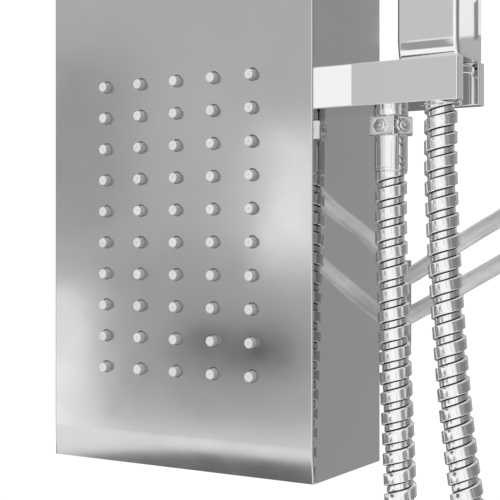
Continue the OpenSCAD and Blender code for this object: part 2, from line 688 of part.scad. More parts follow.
module head_shell() color(chrome) translate([0, y_head, z_head - head_t]) difference() {
  linear_extrude(head_t) round_rect(head_w, head_w, head_corner);
  translate([0, 0, -1]) linear_extrude(3.1) round_rect(head_w - 2 * head_rim + 3, head_w - 2 * head_rim + 3, head_corner - 2);
  translate([0, 0, -1]) linear_extrude(head_t - 1) round_rect(head_w - 2 * head_rim - 3, head_w - 2 * head_rim - 3, head_corner - 4);
  z_cyl(5, -1, head_t + 1);
}
module head_places() for (i = [0 : head_jets - 1], j = [0 : head_jets - 1])
  translate([(i - (head_jets - 1) / 2) * head_pitch, (j - (head_jets - 1) / 2) * head_pitch, 0]) children();
module head_plate() color(chrome) translate([0, y_head, z_head - head_t]) difference() {
  linear_extrude(2) round_rect(head_w - 2 * head_rim + 3 - 2 * fit_gap, head_w - 2 * head_rim + 3 - 2 * fit_gap, head_corner - 2);
  head_places() z_cyl(2, -1, 3);
}
module head_mat() color("lightgray") translate([0, y_head, z_head - head_t]) difference() {
  union() {
    translate([0, 0, 2]) linear_extrude(1.5)
      round_rect(head_w - 2 * head_rim - 3 - 2 * fit_gap, head_w - 2 * head_rim - 3 - 2 * fit_gap, head_corner - 4);
    head_places() translate([0, 0, -2]) cylinder(r1 = 1.4, r2 = 1.8, h = 4);
  }
  head_places() z_cyl(0.6, -3, 4);
}

// Handles
module mixer_hub() color(chrome) at_mixer() difference() {
  union() {
    y_cyl(hub_r, y_hub_face, y_hub);
    y_cyl(stem_r, y_hub - 1, y_in + 10);
  }
  span([-tongue_w / 2 - free_gap, y_hub_face - 1, -14], [tongue_w / 2 + free_gap, y_pivot + 12, 11]);
  translate([0, y_pivot, 0]) x_cyl(pin_r, -hub_r - 1, hub_r + 1);
}
module lever_pin() color(steel) at_mixer() translate([0, y_pivot, 0]) x_cyl(pin_r, -18, 18);
module mixer_lever() color(chrome) at_mixer() difference() {
  union() {
    translate([0, y_pivot, 0]) x_cyl(tongue_r, -tongue_w / 2, tongue_w / 2);
    span([-tongue_w / 2, y_hub_face - lever_gap - 1, -9], [tongue_w / 2, y_pivot, 2]);
    span([-lever_w / 2, y_hub_face - lever_gap - lever_t, -lever_len], [lever_w / 2, y_hub_face - lever_gap, 2]);
  }
  translate([0, y_pivot, 0]) x_cyl(pin_r + run_gap, -tongue_w, tongue_w);
}
module diverter_knob() color(chrome) at_diverter() {
  y_cyl(knob_d / 2, y_hub - knob_len, y_hub);
  y_cyl(stem_r, y_hub - 1, y_in + 10);
  span([-3, y_hub - knob_len - 3, knob_d / 2 - 12], [3, y_hub - knob_len + 1, knob_d / 2 - 1]);
}

casing();
top_cap();
bottom_cap();
cap_screws();
bracket_upper();
bracket_lower();
bracket_screws();
bracket_nuts();
jet_mat();
jet_chamber();
chamber_studs();
chamber_nuts();
mixer_body();
mixer_cartridge();
mixer_ring();
mixer_cover();
check_valves();
diverter_body();
diverter_cartridge();
diverter_ring();
diverter_cover();
link_tube();
jet_feed_tube();
hand_feed_tube();
riser_tube();
tube_nuts();
holder_base();
holder_arm();
holder_spigot();
holder_gasket();
holder_back_nut();
outlet_stub();
outlet_nut();
outlet_sleeve();
shower_hose();
hand_nut();
hand_body();
hand_spigot();
hand_plate();
hand_nibs();
supply_hose_hot();
supply_hose_cold();
supply_ferrules();
supply_nut_hot();
supply_nut_cold();
hose_clip();
arm_elbow();
arm_ring();
arm_cover();
rain_arm();
ball_stem();
ball_seat();
head_socket();
head_shell();
head_plate();
head_mat();
mixer_hub();
mixer_lever();
lever_pin();
diverter_knob();
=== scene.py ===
"""Looks of a rainfall shower column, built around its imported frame."""

import logging
import math
from dataclasses import dataclass
from enum import Enum
from typing import Callable, Iterable, Sequence

import bmesh
import bpy
import numpy as np
from mathutils import Matrix, Vector


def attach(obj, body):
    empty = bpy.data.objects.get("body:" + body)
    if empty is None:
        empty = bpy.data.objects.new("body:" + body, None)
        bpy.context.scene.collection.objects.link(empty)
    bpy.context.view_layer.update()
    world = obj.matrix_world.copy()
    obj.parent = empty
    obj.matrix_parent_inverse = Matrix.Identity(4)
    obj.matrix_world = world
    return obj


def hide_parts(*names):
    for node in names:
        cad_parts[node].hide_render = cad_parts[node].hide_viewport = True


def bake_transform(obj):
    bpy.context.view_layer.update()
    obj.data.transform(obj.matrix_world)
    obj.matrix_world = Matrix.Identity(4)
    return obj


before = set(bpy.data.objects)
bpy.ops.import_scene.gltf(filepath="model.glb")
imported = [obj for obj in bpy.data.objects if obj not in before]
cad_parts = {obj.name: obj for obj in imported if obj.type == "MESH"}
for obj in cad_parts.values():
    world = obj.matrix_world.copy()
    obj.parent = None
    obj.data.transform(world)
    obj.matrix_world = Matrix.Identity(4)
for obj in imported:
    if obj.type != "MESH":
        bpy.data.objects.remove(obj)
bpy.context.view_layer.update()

log = logging.getLogger("shower_column")

MM = 0.001
Point = tuple[float, float, float]
Colour = tuple[float, float, float]
Piece = bpy.types.Object
X_AXIS = Vector((1, 0, 0))
Y_AXIS = Vector((0, 1, 0))
Z_AXIS = Vector((0, 0, 1))


class Grain(Enum):
    """Direction of a metal's polishing lines, as stretch factors per axis."""

    UPRIGHT = (90.0, 90.0, 2.0)
    ALONG_X = (2.0, 90.0, 90.0)
    EVEN = (30.0, 30.0, 30.0)


class Axis(Enum):
    """Axis that a turned piece is turned about."""

    X = (1.0, 0.0, 0.0)
    Y = (0.0, 1.0, 0.0)
    Z = (0.0, 0.0, 1.0)


# ---------------------------------------------------------------- finishes


# Noise patterns lie mostly between these two values
PATTERN_LOW, PATTERN_HIGH = 0.3, 0.7


class NodeTree:
    """A node tree with short ways to add and link nodes."""

    def __init__(self, tree: bpy.types.NodeTree) -> None:
        """Takes up a tree."""
        self.tree = tree

    def node(self, kind: str, **values: object) -> bpy.types.Node:
        """Adds a shader node.

        Args:
            kind: the end of its type's name.
            values: its inputs; underscores in their names stand for spaces.

        Returns:
            The node.
        """
        node = self.tree.nodes.new(f"ShaderNode{kind}")
        for name, value in values.items():
            node.inputs[name.replace("_", " ")].default_value = value
        return node

    def link(self, source: object, target: object) -> None:
        """Links one socket to another."""
        self.tree.links.new(source, target)

    def maths(self, operation: str, *values: object) -> object:
        """Adds a Math node.

        Args:
            operation: what it works out.
            values: its inputs, sockets or numbers.

        Returns:
            Its value socket.
        """
        node = self.node("Math")
        node.operation = operation
        for socket, value in zip(node.inputs, values):
            if isinstance(value, (int, float)):
                socket.default_value = value
            else:
                self.link(value, socket)
        return node.outputs["Value"]


class NodeSheet(NodeTree):
    """A material's node tree round one Principled shader."""

    def __init__(self, name: str) -> None:
        """Starts an empty material with one Principled shader.

        Args:
            name: the material's name.
        """
        self.material = bpy.data.materials.new(name)
        self.material.use_nodes = True
        super().__init__(self.material.node_tree)
        self.shader = self.tree.nodes["Principled BSDF"]
        self.place = self.node("TexCoord")

    def set(self, **values: object) -> None:
        """Sets shader sockets; underscores in names stand for spaces."""
        for name, value in values.items():
            self.shader.inputs[name.replace("_", " ")].default_value = value

    def noise(self, scale: float, stretch: Point = (1.0, 1.0, 1.0),
              detail: float = 2.0) -> object:
        """Adds a noise pattern on Object coordinates.

        Args:
            scale: pattern repeats per metre.
            stretch: factor on each axis before the scale.
            detail: octaves of detail.

        Returns:
            The noise's value socket.
        """
        mapping = self.node("Mapping", Scale=stretch)
        noise = self.node("TexNoise", Scale=scale, Detail=detail)
        self.link(self.place.outputs["Object"], mapping.inputs["Vector"])
        self.link(mapping.outputs["Vector"], noise.inputs["Vector"])
        return noise.outputs["Fac"]

    def spread(self, source: object, low: float, high: float) -> object:
        """Maps a pattern on to a range.

        Args:
            source: the pattern's socket.
            low: value where the pattern is low.
            high: value where the pattern is high.

        Returns:
            The mapped value's socket.
        """
        ranged = self.node("MapRange", From_Min=PATTERN_LOW, From_Max=PATTERN_HIGH, To_Min=low, To_Max=high)
        self.link(source, ranged.inputs["Value"])
        return ranged.outputs["Result"]

    def blend_colours(self, source: object, low: Colour, high: Colour) -> None:
        """Colours the shader between two tones by a pattern.

        Args:
            source: the pattern's socket.
            low: colour where the pattern is low.
            high: colour where the pattern is high.
        """
        ramp = self.node("ValToRGB")
        stops = zip(ramp.color_ramp.elements, (PATTERN_LOW, PATTERN_HIGH), (low, high))
        for stop, position, colour in stops:
            stop.position = position
            stop.color = (*colour, 1.0)
        self.link(source, ramp.inputs["Fac"])
        self.link(ramp.outputs["Color"], self.shader.inputs["Base Color"])

    def bump(self, height: object, distance: float, strength: float = 1.0,
             below: object = None) -> object:
        """Adds a bump from a height pattern.

        Args:
            height: the pattern's socket.
            distance: depth in metres.
            strength: share of the bump that is used.
            below: an earlier bump's normal to build on.

        Returns:
            The bump's normal socket.
        """
        bump = self.node("Bump", Distance=distance, Strength=strength)
        self.link(height, bump.inputs["Height"])
        if below is not None:
            self.link(below, bump.inputs["Normal"])
        self.link(bump.outputs["Normal"], self.shader.inputs["Normal"])
        return bump.outputs["Normal"]


@dataclass(frozen=True)
class MetalFinish:
    """A bare or plated metal with polishing lines, slight smudges and sheet waviness."""

    name: str
    light: Colour
    dark: Colour
    roughness: float
    smudge: float
    grain: Grain = Grain.EVEN
    grain_depth: float = 0.000004
    wave_depth: float = 0.0
    wave_scale: float = 9.0

    def make(self) -> bpy.types.Material:
        """Builds the material.

        Returns:
            The finished material.
        """
        sheet = NodeSheet(self.name)
        sheet.set(Metallic=1.0)
        cloud = sheet.noise(14.0, detail=3.0)
        sheet.blend_colours(cloud, self.dark, self.light)
        smudges = sheet.noise(38.0, detail=4.0)
        rough = sheet.spread(smudges, self.roughness, self.roughness + self.smudge)
        sheet.link(rough, sheet.shader.inputs["Roughness"])
        lines = sheet.noise(14.0, self.grain.value, detail=2.0)
        normal = sheet.bump(lines, self.grain_depth, 0.35)
        if self.wave_depth:
            wave = sheet.noise(self.wave_scale, detail=1.0)
            sheet.bump(wave, self.wave_depth, 1.0, below=normal)
        return sheet.material


@dataclass(frozen=True)
class MouldedFinish:
    """A moulded plastic or rubber with a fine grain."""

    name: str
    light: Colour
    dark: Colour
    roughness: float
    grain_scale: float = 900.0
    grain_depth: float = 0.00002
    soft_depth: float = 0.0

    def make(self) -> bpy.types.Material:
        """Builds the material.

        Returns:
            The finished material.
        """
        sheet = NodeSheet(self.name)
        if self.soft_depth:
            sheet.set(Subsurface_Weight=0.25, Subsurface_Scale=self.soft_depth)
        sheet.blend_colours(sheet.noise(60.0, detail=3.0), self.dark, self.light)
        rough = sheet.spread(sheet.noise(220.0, detail=3.0), self.roughness, self.roughness + 0.12)
        sheet.link(rough, sheet.shader.inputs["Roughness"])
        sheet.bump(sheet.noise(self.grain_scale, detail=3.0), self.grain_depth, 0.5)
        return sheet.material


@dataclass(frozen=True)
class BraidFinish:
    """A fine wire braid under a clear sheath, drawn along a hose's own length."""

    name: str
    light: Colour
    dark: Colour
    roughness: float
    strands: float

    def make(self) -> bpy.types.Material:
        """Builds the material on the hose's UV map: U runs round it, V along it in diameters.

        Returns:
            The finished material.
        """
        sheet = NodeSheet(self.name)
        sheet.set(Metallic=0.55, Coat_Weight=0.35, Coat_Roughness=0.25)
        waves = []
        for turned in (0.785, -0.785):
            mapping = sheet.node("Mapping", Rotation=(0.0, 0.0, turned))
            wave = sheet.node("TexWave", Scale=self.strands)
            sheet.link(sheet.place.outputs["UV"], mapping.inputs["Vector"])
            sheet.link(mapping.outputs["Vector"], wave.inputs["Vector"])
            waves.append(wave.outputs["Fac"])
        weave = sheet.maths("MAXIMUM", *waves)
        sheet.blend_colours(sheet.noise(75.0, detail=4.0), self.dark, self.light)
        rough = sheet.spread(sheet.noise(120.0, detail=3.0), self.roughness, self.roughness + 0.15)
        sheet.link(rough, sheet.shader.inputs["Roughness"])
        normal = sheet.bump(weave, 0.00006, 0.35)
        sheet.bump(sheet.noise(260.0, detail=3.0), 0.0001, 0.4, below=normal)
        return sheet.material


class Finishes:
    """Every finish on the column, each made once."""

    SATIN_SHEET = MetalFinish("satin_sheet", (0.70, 0.70, 0.705), (0.64, 0.64, 0.65), 0.10, 0.05,
                              Grain.UPRIGHT, 0.000003, 0.00012, 7.0)
    POLISHED_SHEET = MetalFinish("polished_sheet", (0.76, 0.76, 0.765), (0.72, 0.72, 0.73),
                                 0.03, 0.03, Grain.ALONG_X, 0.000003)
    CHROME = MetalFinish("bright_chrome", (0.90, 0.90, 0.91), (0.86, 0.86, 0.87), 0.03, 0.03)
    HOSE_CHROME = MetalFinish("spiral_chrome", (0.93, 0.93, 0.935), (0.86, 0.86, 0.87), 0.09, 0.06)
    ZINC = MetalFinish("zinc_plate", (0.60, 0.61, 0.63), (0.47, 0.48, 0.50), 0.30, 0.16,
                       grain_depth=0.00002)
    BRASS = MetalFinish("cast_brass", (0.80, 0.60, 0.28), (0.66, 0.46, 0.19), 0.24, 0.16,
                        grain_depth=0.00003)
    SILICONE = MouldedFinish("pale_silicone", (0.67, 0.67, 0.68), (0.60, 0.60, 0.61), 0.42,
                             grain_depth=0.00001, soft_depth=0.0015)
    # darker copy of the pale silicone, put on the nibs' sides and the mat as painted shade
    SILICONE_PAINTED_SHADE = MouldedFinish("silicone_painted_shade", (0.42, 0.42, 0.425), (0.35, 0.35, 0.355), 0.42,
                                  grain_depth=0.00001)
    BLACK_PLASTIC = MouldedFinish("black_moulding", (0.06, 0.06, 0.065), (0.035, 0.035, 0.04), 0.42)
    WHITE_PLASTIC = MouldedFinish("white_acetal", (0.84, 0.84, 0.82), (0.78, 0.78, 0.75), 0.35)
    # black rubber for the holder gasket, also put in the spiral hose's grooves as painted shade
    GASKET_AND_GROOVE_SHADE = MouldedFinish("black_rubber_and_groove_shade", (0.035, 0.035, 0.035), (0.02, 0.02, 0.02), 0.6)
    BRAID = BraidFinish("grey_braid", (0.80, 0.80, 0.81), (0.58, 0.58, 0.59), 0.32, 5.0)

    def __init__(self) -> None:
        """Starts with nothing made."""
        self._made: dict[str, bpy.types.Material] = {}

    def get(self, finish: object) -> bpy.types.Material:
        """Returns a finish's material, making it the first time.

        Args:
            finish: one of the finishes above.

        Returns:
            The material.
        """
        if finish.name not in self._made:
            self._made[finish.name] = finish.make()
        return self._made[finish.name]

    def dress(self, piece: Piece, finish: object) -> None:
        """Gives a piece one finish all over.

        Args:
            piece: the mesh object.
            finish: one of the finishes above.
        """
        piece.data.materials.clear()
        piece.data.materials.append(self.get(finish))


# ------------------------------------------------------------- shop tools


def deselect() -> None:
    """Leaves object mode with nothing selected."""
    if bpy.context.object is not None and bpy.context.object.mode != "OBJECT":
        bpy.ops.object.mode_set(mode="OBJECT")
    bpy.ops.object.select_all(action="DESELECT")


def take(piece: Piece) -> None:
    """Selects one piece alone and makes it active."""
    deselect()
    piece.select_set(True)
    bpy.context.view_layer.objects.active = piece


def settle(piece: Piece, name: str) -> Piece:
    """Names a piece and puts its place into its mesh.

    Args:
        piece: a new object.
        name: its name.

    Returns:
        The same object, sitting at the origin.
    """
    take(piece)
    bpy.ops.object.transform_apply(location=True, rotation=True, scale=True)
    piece.name = name
    piece.data.name = name
    return piece


def block(name: str, low: Point, high: Point) -> Piece:
    """Adds a box between two corners.

    Args:
        name: the piece's name.
        low: lowest corner, in metres.
        high: highest corner, in metres.

    Returns:
        The new box.
    """
    deselect()
    middle = [(a + b) / 2 for a, b in zip(low, high)]
    size = [b - a for a, b in zip(low, high)]
    bpy.ops.mesh.primitive_cube_add(size=1.0, location=middle, scale=size)
    return settle(bpy.context.object, name)


def in_metres(rows: Iterable[Sequence[float]]) -> list[tuple[float, ...]]:
    """Turns rows of millimetres into metres."""
    return [tuple(value * MM for value in row) for row in rows]


def brick(name: str, low: Point, high: Point) -> Piece:
    """Adds a box between two corners that are given in millimetres."""
    return block(name, *in_metres((low, high)))


def rod(name: str, axis: Axis, centre: Point, radius: float, start: float, end: float,
        sides: int = 48) -> Piece:
    """Adds a round rod along an axis.

    Args:
        name: the piece's name.
        axis: its axis.
        centre: a point on the axis.
        radius: its radius.
        start: where it starts along the axis.
        end: where it ends along the axis.
        sides: number of sides.

    Returns:
        The new rod.
    """
    deselect()
    turns = {Axis.X: (0.0, math.pi / 2, 0.0), Axis.Y: (-math.pi / 2, 0.0, 0.0), Axis.Z: (0.0, 0.0, 0.0)}
    along = Vector(axis.value)
    place = Vector(centre) - along * along.dot(Vector(centre)) + along * (start + end) / 2
    bpy.ops.mesh.primitive_cylinder_add(vertices=sides, radius=radius, depth=end - start, location=place,
                                        rotation=turns[axis])
    return settle(bpy.context.object, name)


def pick(piece: Piece, mode: str, test: Callable[[object], bool]) -> int:
    """Enters edit mode with the faces, edges or vertices that pass a test selected.

    Args:
        piece: the piece to edit.
        mode: "FACE", "EDGE" or "VERT".
        test: takes a bmesh element and says whether it is wanted.

    Returns:
        How many elements were selected.
    """
    take(piece)
    bpy.ops.object.mode_set(mode="EDIT")
    bpy.ops.mesh.select_mode(type=mode)
    bpy.ops.mesh.select_all(action="DESELECT")
    mesh = bmesh.from_edit_mesh(piece.data)
    mesh.normal_update()
    group = {"FACE": mesh.faces, "EDGE": mesh.edges, "VERT": mesh.verts}[mode]
    wanted = [element for element in group if test(element)]
    for element in wanted:
        element.select_set(True)
    mesh.select_flush_mode()
    bmesh.update_edit_mesh(piece.data)
    return len(wanted)


def done(piece: Piece) -> Piece:
    """Leaves edit mode.

    Args:
        piece: the piece in edit mode.

    Returns:
        The same piece.
    """
    bpy.ops.object.mode_set(mode="OBJECT")
    return piece


def apply(piece: Piece, kind: str, **settings: object) -> Piece:
    """Adds a modifier to a piece and applies it.

    Args:
        piece: the piece.
        kind: the modifier's type.
        settings: the modifier's settings.

    Returns:
        The same piece.
    """
    take(piece)
    modifier = piece.modifiers.new(kind.lower(), kind)
    for name, value in settings.items():
        setattr(modifier, name, value)
    bpy.ops.object.modifier_apply(modifier=modifier.name)
    return piece


def bevel(piece: Piece, width: float, segments: int = 3, angle: float = 40.0) -> Piece:
    """Rounds a piece's edges that are sharper than an angle in degrees.

    Args:
        piece: the piece.
        width: width of the rounding.
        segments: steps in the rounding.
        angle: edges sharper than this are rounded.

    Returns:
        The same piece.
    """
    return apply(piece, "BEVEL", width=width, segments=segments, limit_method="ANGLE",
                 angle_limit=math.radians(angle), harden_normals=False)


def smooth(piece: Piece, angle: float = 35.0) -> Piece:
    """Shades a piece smooth, with edges sharper than an angle in degrees left sharp.

    Args:
        piece: the piece.
        angle: the angle.

    Returns:
        The same piece.
    """
    take(piece)
    bpy.ops.object.shade_smooth_by_angle(angle=math.radians(angle))
    return piece


def polish(piece: Piece, angle: float = 35.0) -> Piece:
    """Shades a piece smooth with flat faces kept flat, as polished metal is.

    Args:
        piece: the piece.
        angle: sharper edges stay sharp, in degrees.

    Returns:
        The same piece.
    """
    return apply(smooth(piece, angle), "WEIGHTED_NORMAL", keep_sharp=True, weight=80)


def soften(piece: Piece, width: float, kept: Callable[[float], bool],
           angle: float = 50.0) -> Piece:
    """Rounds the sharp edges of a piece wherever a test of their middle's x allows it.

    Args:
        piece: the piece.
        width: the rounding's width.
        kept: the test.
        angle: blunter edges are left, in degrees.

    Returns:
        The same piece.
    """
    pick(piece, "EDGE", lambda edge: edge.is_manifold and edge.calc_face_angle(0.0) > math.radians(angle)
         and kept((edge.verts[0].co.x + edge.verts[1].co.x) / 2))
    bpy.ops.mesh.bevel(offset=width, segments=4, affect="EDGES")
    return polish(done(piece))


def round_uprights(piece: Piece, width: float, segments: int) -> Piece:
    """Rounds a box's upright edges.

    Args:
        piece: the box.
        width: the rounding's width.
        segments: steps in the rounding.

    Returns:
        The same piece.
    """
    pick(piece, "EDGE", lambda edge: abs(edge.verts[0].co.z - edge.verts[1].co.z) > 1e-5)
    bpy.ops.mesh.bevel(offset=width, segments=segments, affect="EDGES")
    return done(piece)


def roll_foot(piece: Piece, bottom: float, height: float, rises: Sequence[float],
              front: float, roll: float, power: float) -> Piece:
    """Rolls the foot of a piece's front inwards, in steps.

    Args:
        piece: the piece.
        bottom: the foot's lower end.
        height: how far up the roll starts.
        rises: where its steps are, as shares of that height.
        front: only what lies further forward than this is rolled.
        roll: how far in the lowest edge goes.
        power: how late the roll gets steep.

    Returns:
        The same piece.
    """
    pick(piece, "FACE", lambda face: True)
    for rise in rises:
        bpy.ops.mesh.select_all(action="SELECT")
        bpy.ops.mesh.bisect(plane_co=(0, 0, bottom + height * rise), plane_no=(0, 0, 1))
    mesh = bmesh.from_edit_mesh(piece.data)
    for vertex in mesh.verts:
        drop = 1 - (vertex.co.z - bottom) / height
        if vertex.co.y < front and drop > 0:
            vertex.co.y += roll * drop ** power
    bmesh.update_edit_mesh(piece.data)
    return done(piece)


def cut(piece: Piece, cutters: Iterable[Piece]) -> Piece:
    """Cuts other shapes out of a piece and removes them.

    Args:
        piece: the piece to cut.
        cutters: the shapes to take away.

    Returns:
        The same piece.
    """
    for cutter in cutters:
        apply(piece, "BOOLEAN", operation="DIFFERENCE", solver="EXACT", object=cutter)
        bpy.data.objects.remove(cutter, do_unlink=True)
    return piece


def join(pieces: Sequence[Piece], name: str) -> Piece:
    """Joins pieces into one.

    Args:
        pieces: the pieces, at least one.
        name: the joined piece's name.

    Returns:
        The joined piece.
    """
    deselect()
    for piece in pieces:
        piece.select_set(True)
    bpy.context.view_layer.objects.active = pieces[0]
    if len(pieces) > 1:
        bpy.ops.object.join()
    pieces[0].name = name
    pieces[0].data.name = name
    return pieces[0]


def repeat(master: Piece, places: Sequence[Point], name: str) -> Piece:
    """Copies one modelled shape to many places and joins the copies.

    Args:
        master: the shape, modelled about the origin; it is used up.
        places: where the copies go.
        name: the joined piece's name.

    Returns:
        The joined piece.
    """
    copies = []
    for place in places:
        copy = master.copy()
        copy.data = master.data.copy()
        copy.location = place
        bpy.context.collection.objects.link(copy)
        copies.append(copy)
    bpy.data.objects.remove(master, do_unlink=True)
    return settle(join(copies, name), name)


def turn(name: str, profile: Sequence[tuple[float, float]], axis: Axis = Axis.Z,
         steps: int = 48) -> Piece:
    """Turns a profile about an axis through the origin, as on a lathe.

    Args:
        name: the piece's name.
        profile: (radius, distance along the axis) pairs in millimetres, closed where it is a ring.
        axis: the axis it is turned about.
        steps: number of steps round.

    Returns:
        The turned piece.
    """
    along = Vector(axis.value)
    across = X_AXIS if axis is not Axis.X else Y_AXIS
    points = [across * radius + along * distance for radius, distance in in_metres(profile)]
    deselect()
    bpy.ops.mesh.primitive_plane_add(size=MM, location=points[0])
    piece = settle(bpy.context.object, name)
    bpy.ops.object.mode_set(mode="EDIT")
    bpy.ops.mesh.select_mode(type="VERT")
    bpy.ops.mesh.select_all(action="SELECT")
    bpy.ops.mesh.merge(type="CENTER")
    for here, there in zip(points, points[1:]):
        bpy.ops.mesh.extrude_region_move(TRANSFORM_OT_translate={"value": there - here})
    bpy.ops.mesh.select_all(action="SELECT")
    bpy.ops.mesh.spin(steps=steps, angle=2 * math.pi, center=(0, 0, 0), axis=axis.value)
    bpy.ops.mesh.select_all(action="SELECT")
    bpy.ops.mesh.remove_doubles(threshold=1e-6)
    bpy.ops.mesh.normals_make_consistent(inside=False)
    return done(piece)


def lathe(name: str, profile: Sequence[tuple[float, float]], place: Point, axis: Axis = Axis.Z,
          steps: int = 64, angle: float = 25.0) -> Piece:
    """Turns a profile about an axis through a place and polishes it.

    Args:
        name: the piece's name.
        profile: (radius, distance along the axis) pairs in millimetres.
        place: a point on the axis, in metres, that distances are measured from.
        axis: the axis.
        steps: number of steps round.
        angle: sharper edges stay sharp, in degrees.

    Returns:
        The turned piece.
    """
    piece = turn(name, profile, axis, steps)
    piece.data.transform(Matrix.Translation(place))
    return polish(piece, angle)


def stand_for(piece: Piece, body: str, slot: str, *nodes: str) -> Piece:
    """Rides a piece on a body and hides the CAD nodes that it stands for.

    Args:
        piece: the piece.
        body: the CAD body it moves with.
        slot: not used.
        nodes: CAD nodes that it replaces.

    Returns:
        The same piece.
    """
    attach(piece, body)
    if nodes:
        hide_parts(*nodes)
    log.info("%s: %d faces", piece.name, len(piece.data.polygons))
    return piece


@dataclass
class Assembly:
    """A sub-assembly, whose pieces share one set of finishes."""

    finishes: Finishes

    def hand_over(self, piece: Piece, finish: object, body: str, slot: str, *nodes: str) -> None:
        """Dresses a finished piece, rides it on its body and hides the CAD nodes that it stands for.

        Args:
            piece: the piece.
            finish: its finish.
            body: the CAD body it moves with.
            slot: not used; it is only passed on to stand_for.
            nodes: CAD nodes that it replaces.
        """
        self.finishes.dress(piece, finish)
        stand_for(piece, body, slot, *nodes)


# ------------------------------------------------------------- the studio


@dataclass
class Studio:
    """Camera, floor, soft lights and the cards that the metal reflects."""

    eye: Point = (0.32166, -0.58406, -0.49474)
    yaw: float = math.radians(31.603)
    lens: float = 83.52
    shift: float = -0.003
    floor_level: float = -1.06

    # (compass bearing in degrees from +X, brightness) of the panels round the studio
    PANELS = ((-180, 0.22), (-168, 0.24), (-152, 0.42), (-140, 0.62), (-118, 0.70), (-104, 0.98),
              (-70, 1.05), (-64, 0.72), (-58, 1.0), (-46, 0.92), (-36, 0.45), (-28, 0.26), (-20, 0.30),
              (-17, 0.62), (-14, 0.28),
              (10, 0.22), (40, 0.24), (61, 0.34), (66, 0.36), (69, 0.47), (76, 0.46), (90, 0.30),
              (110, 0.16), (130, 0.20), (180, 0.22))

    def build(self) -> None:
        """Sets up the camera, the floor, the cards and the lights."""
        for part in (self.camera, self.floor, self.world, self.cards, self.lamps):
            part()

    def camera(self) -> None:
        """Makes the level camera to the column's right."""
        camera = bpy.data.cameras.new("camera")
        camera.lens = self.lens
        camera.shift_y = self.shift
        camera.clip_start = 0.01
        camera.clip_end = 60.0
        eye = bpy.data.objects.new("camera", camera)
        eye.location = self.eye
        eye.rotation_euler = (math.pi / 2, 0.0, self.yaw)
        bpy.context.collection.objects.link(eye)
        bpy.context.scene.camera = eye
        bpy.context.scene.view_settings.view_transform = "Standard"

    def floor(self) -> None:
        """Lays the plain pale floor."""
        floor = block("floor", (-1.5, -2.1, self.floor_level - 0.03), (1.5, 0.6, self.floor_level))
        bevel(floor, 0.005, 2)
        floor.data.materials.append(self.paint("floor_paint", 0.8, 0.0))

    def paint(self, name: str, tone: float, glow: float) -> bpy.types.Material:
        """Makes a plain grey paint that may glow.

        Args:
            name: the paint's name.
            tone: its grey.
            glow: its own brightness.

        Returns:
            The material.
        """
        material = bpy.data.materials.new(name)
        material.use_nodes = True
        shader = material.node_tree.nodes["Principled BSDF"]
        shader.inputs["Base Color"].default_value = (tone, tone, tone, 1.0)
        shader.inputs["Roughness"].default_value = 0.9
        shader.inputs["Specular IOR Level"].default_value = 0.1
        if glow:
            shader.inputs["Base Color"].default_value = (0.0, 0.0, 0.0, 1.0)
            shader.inputs["Emission Color"].default_value = (1.0, 1.0, 1.0, 1.0)
            shader.inputs["Emission Strength"].default_value = glow
        return material

    def world(self) -> None:
        """Surrounds the column with a white backdrop that the metal sees as a row of tall panels."""
        world = bpy.data.worlds.new("studio")
        world.use_nodes = True
        sheet = NodeTree(world.node_tree)
        split = sheet.node("SeparateXYZ")
        sheet.link(sheet.node("TexCoord").outputs["Generated"], split.inputs["Vector"])
        bearing = sheet.maths("ARCTAN2", split.outputs["Y"], split.outputs["X"])
        panels = sheet.node("ValToRGB")
        while len(panels.color_ramp.elements) < len(self.PANELS):
            panels.color_ramp.elements.new(0.5)
        for stop, (degrees, tone) in zip(panels.color_ramp.elements, self.PANELS):
            stop.position = (degrees + 180) / 360
            stop.color = (tone, tone, tone, 1.0)
        sheet.link(sheet.maths("MULTIPLY_ADD", bearing, 1 / (2 * math.pi), 0.5), panels.inputs["Fac"])
        ceiling = sheet.node("MapRange", From_Min=0.25, From_Max=0.75)
        sheet.link(split.outputs["Z"], ceiling.inputs["Value"])
        colour_a, colour_b, mixed = 6, 7, 2  # the Mix node's colour sockets share their names with others
        surround = sheet.node("Mix")
        surround.data_type = "RGBA"
        surround.inputs[colour_b].default_value = (0.95, 0.95, 0.95, 1.0)
        sheet.link(ceiling.outputs["Result"], surround.inputs["Factor"])
        sheet.link(panels.outputs["Color"], surround.inputs[colour_a])
        unseen = sheet.tree.nodes["Background"]
        sheet.link(surround.outputs[mixed], unseen.inputs["Color"])
        backdrop = sheet.node("Background", Strength=1.05, Color=(1.0, 1.0, 1.0, 1.0))
        choice = sheet.node("MixShader")
        sheet.link(sheet.node("LightPath").outputs["Is Camera Ray"], choice.inputs["Fac"])
        sheet.link(unseen.outputs["Background"], choice.inputs[1])
        sheet.link(backdrop.outputs["Background"], choice.inputs[2])
        sheet.link(choice.outputs["Shader"], sheet.tree.nodes["World Output"].inputs["Surface"])
        bpy.context.scene.world = world

    def card(self, name: str, low: Point, high: Point, glow: float) -> None:
        """Stands one flat card in the studio, seen only in reflections.

        Args:
            name: the card's name.
            low: its lowest corner.
            high: its highest corner.
            glow: its brightness.
        """
        card = block(name, low, high)
        card.data.materials.append(self.paint(f"{name}_paint", 0.0, glow))
        card.visible_camera = False
        card.visible_shadow = False
        card.visible_diffuse = False

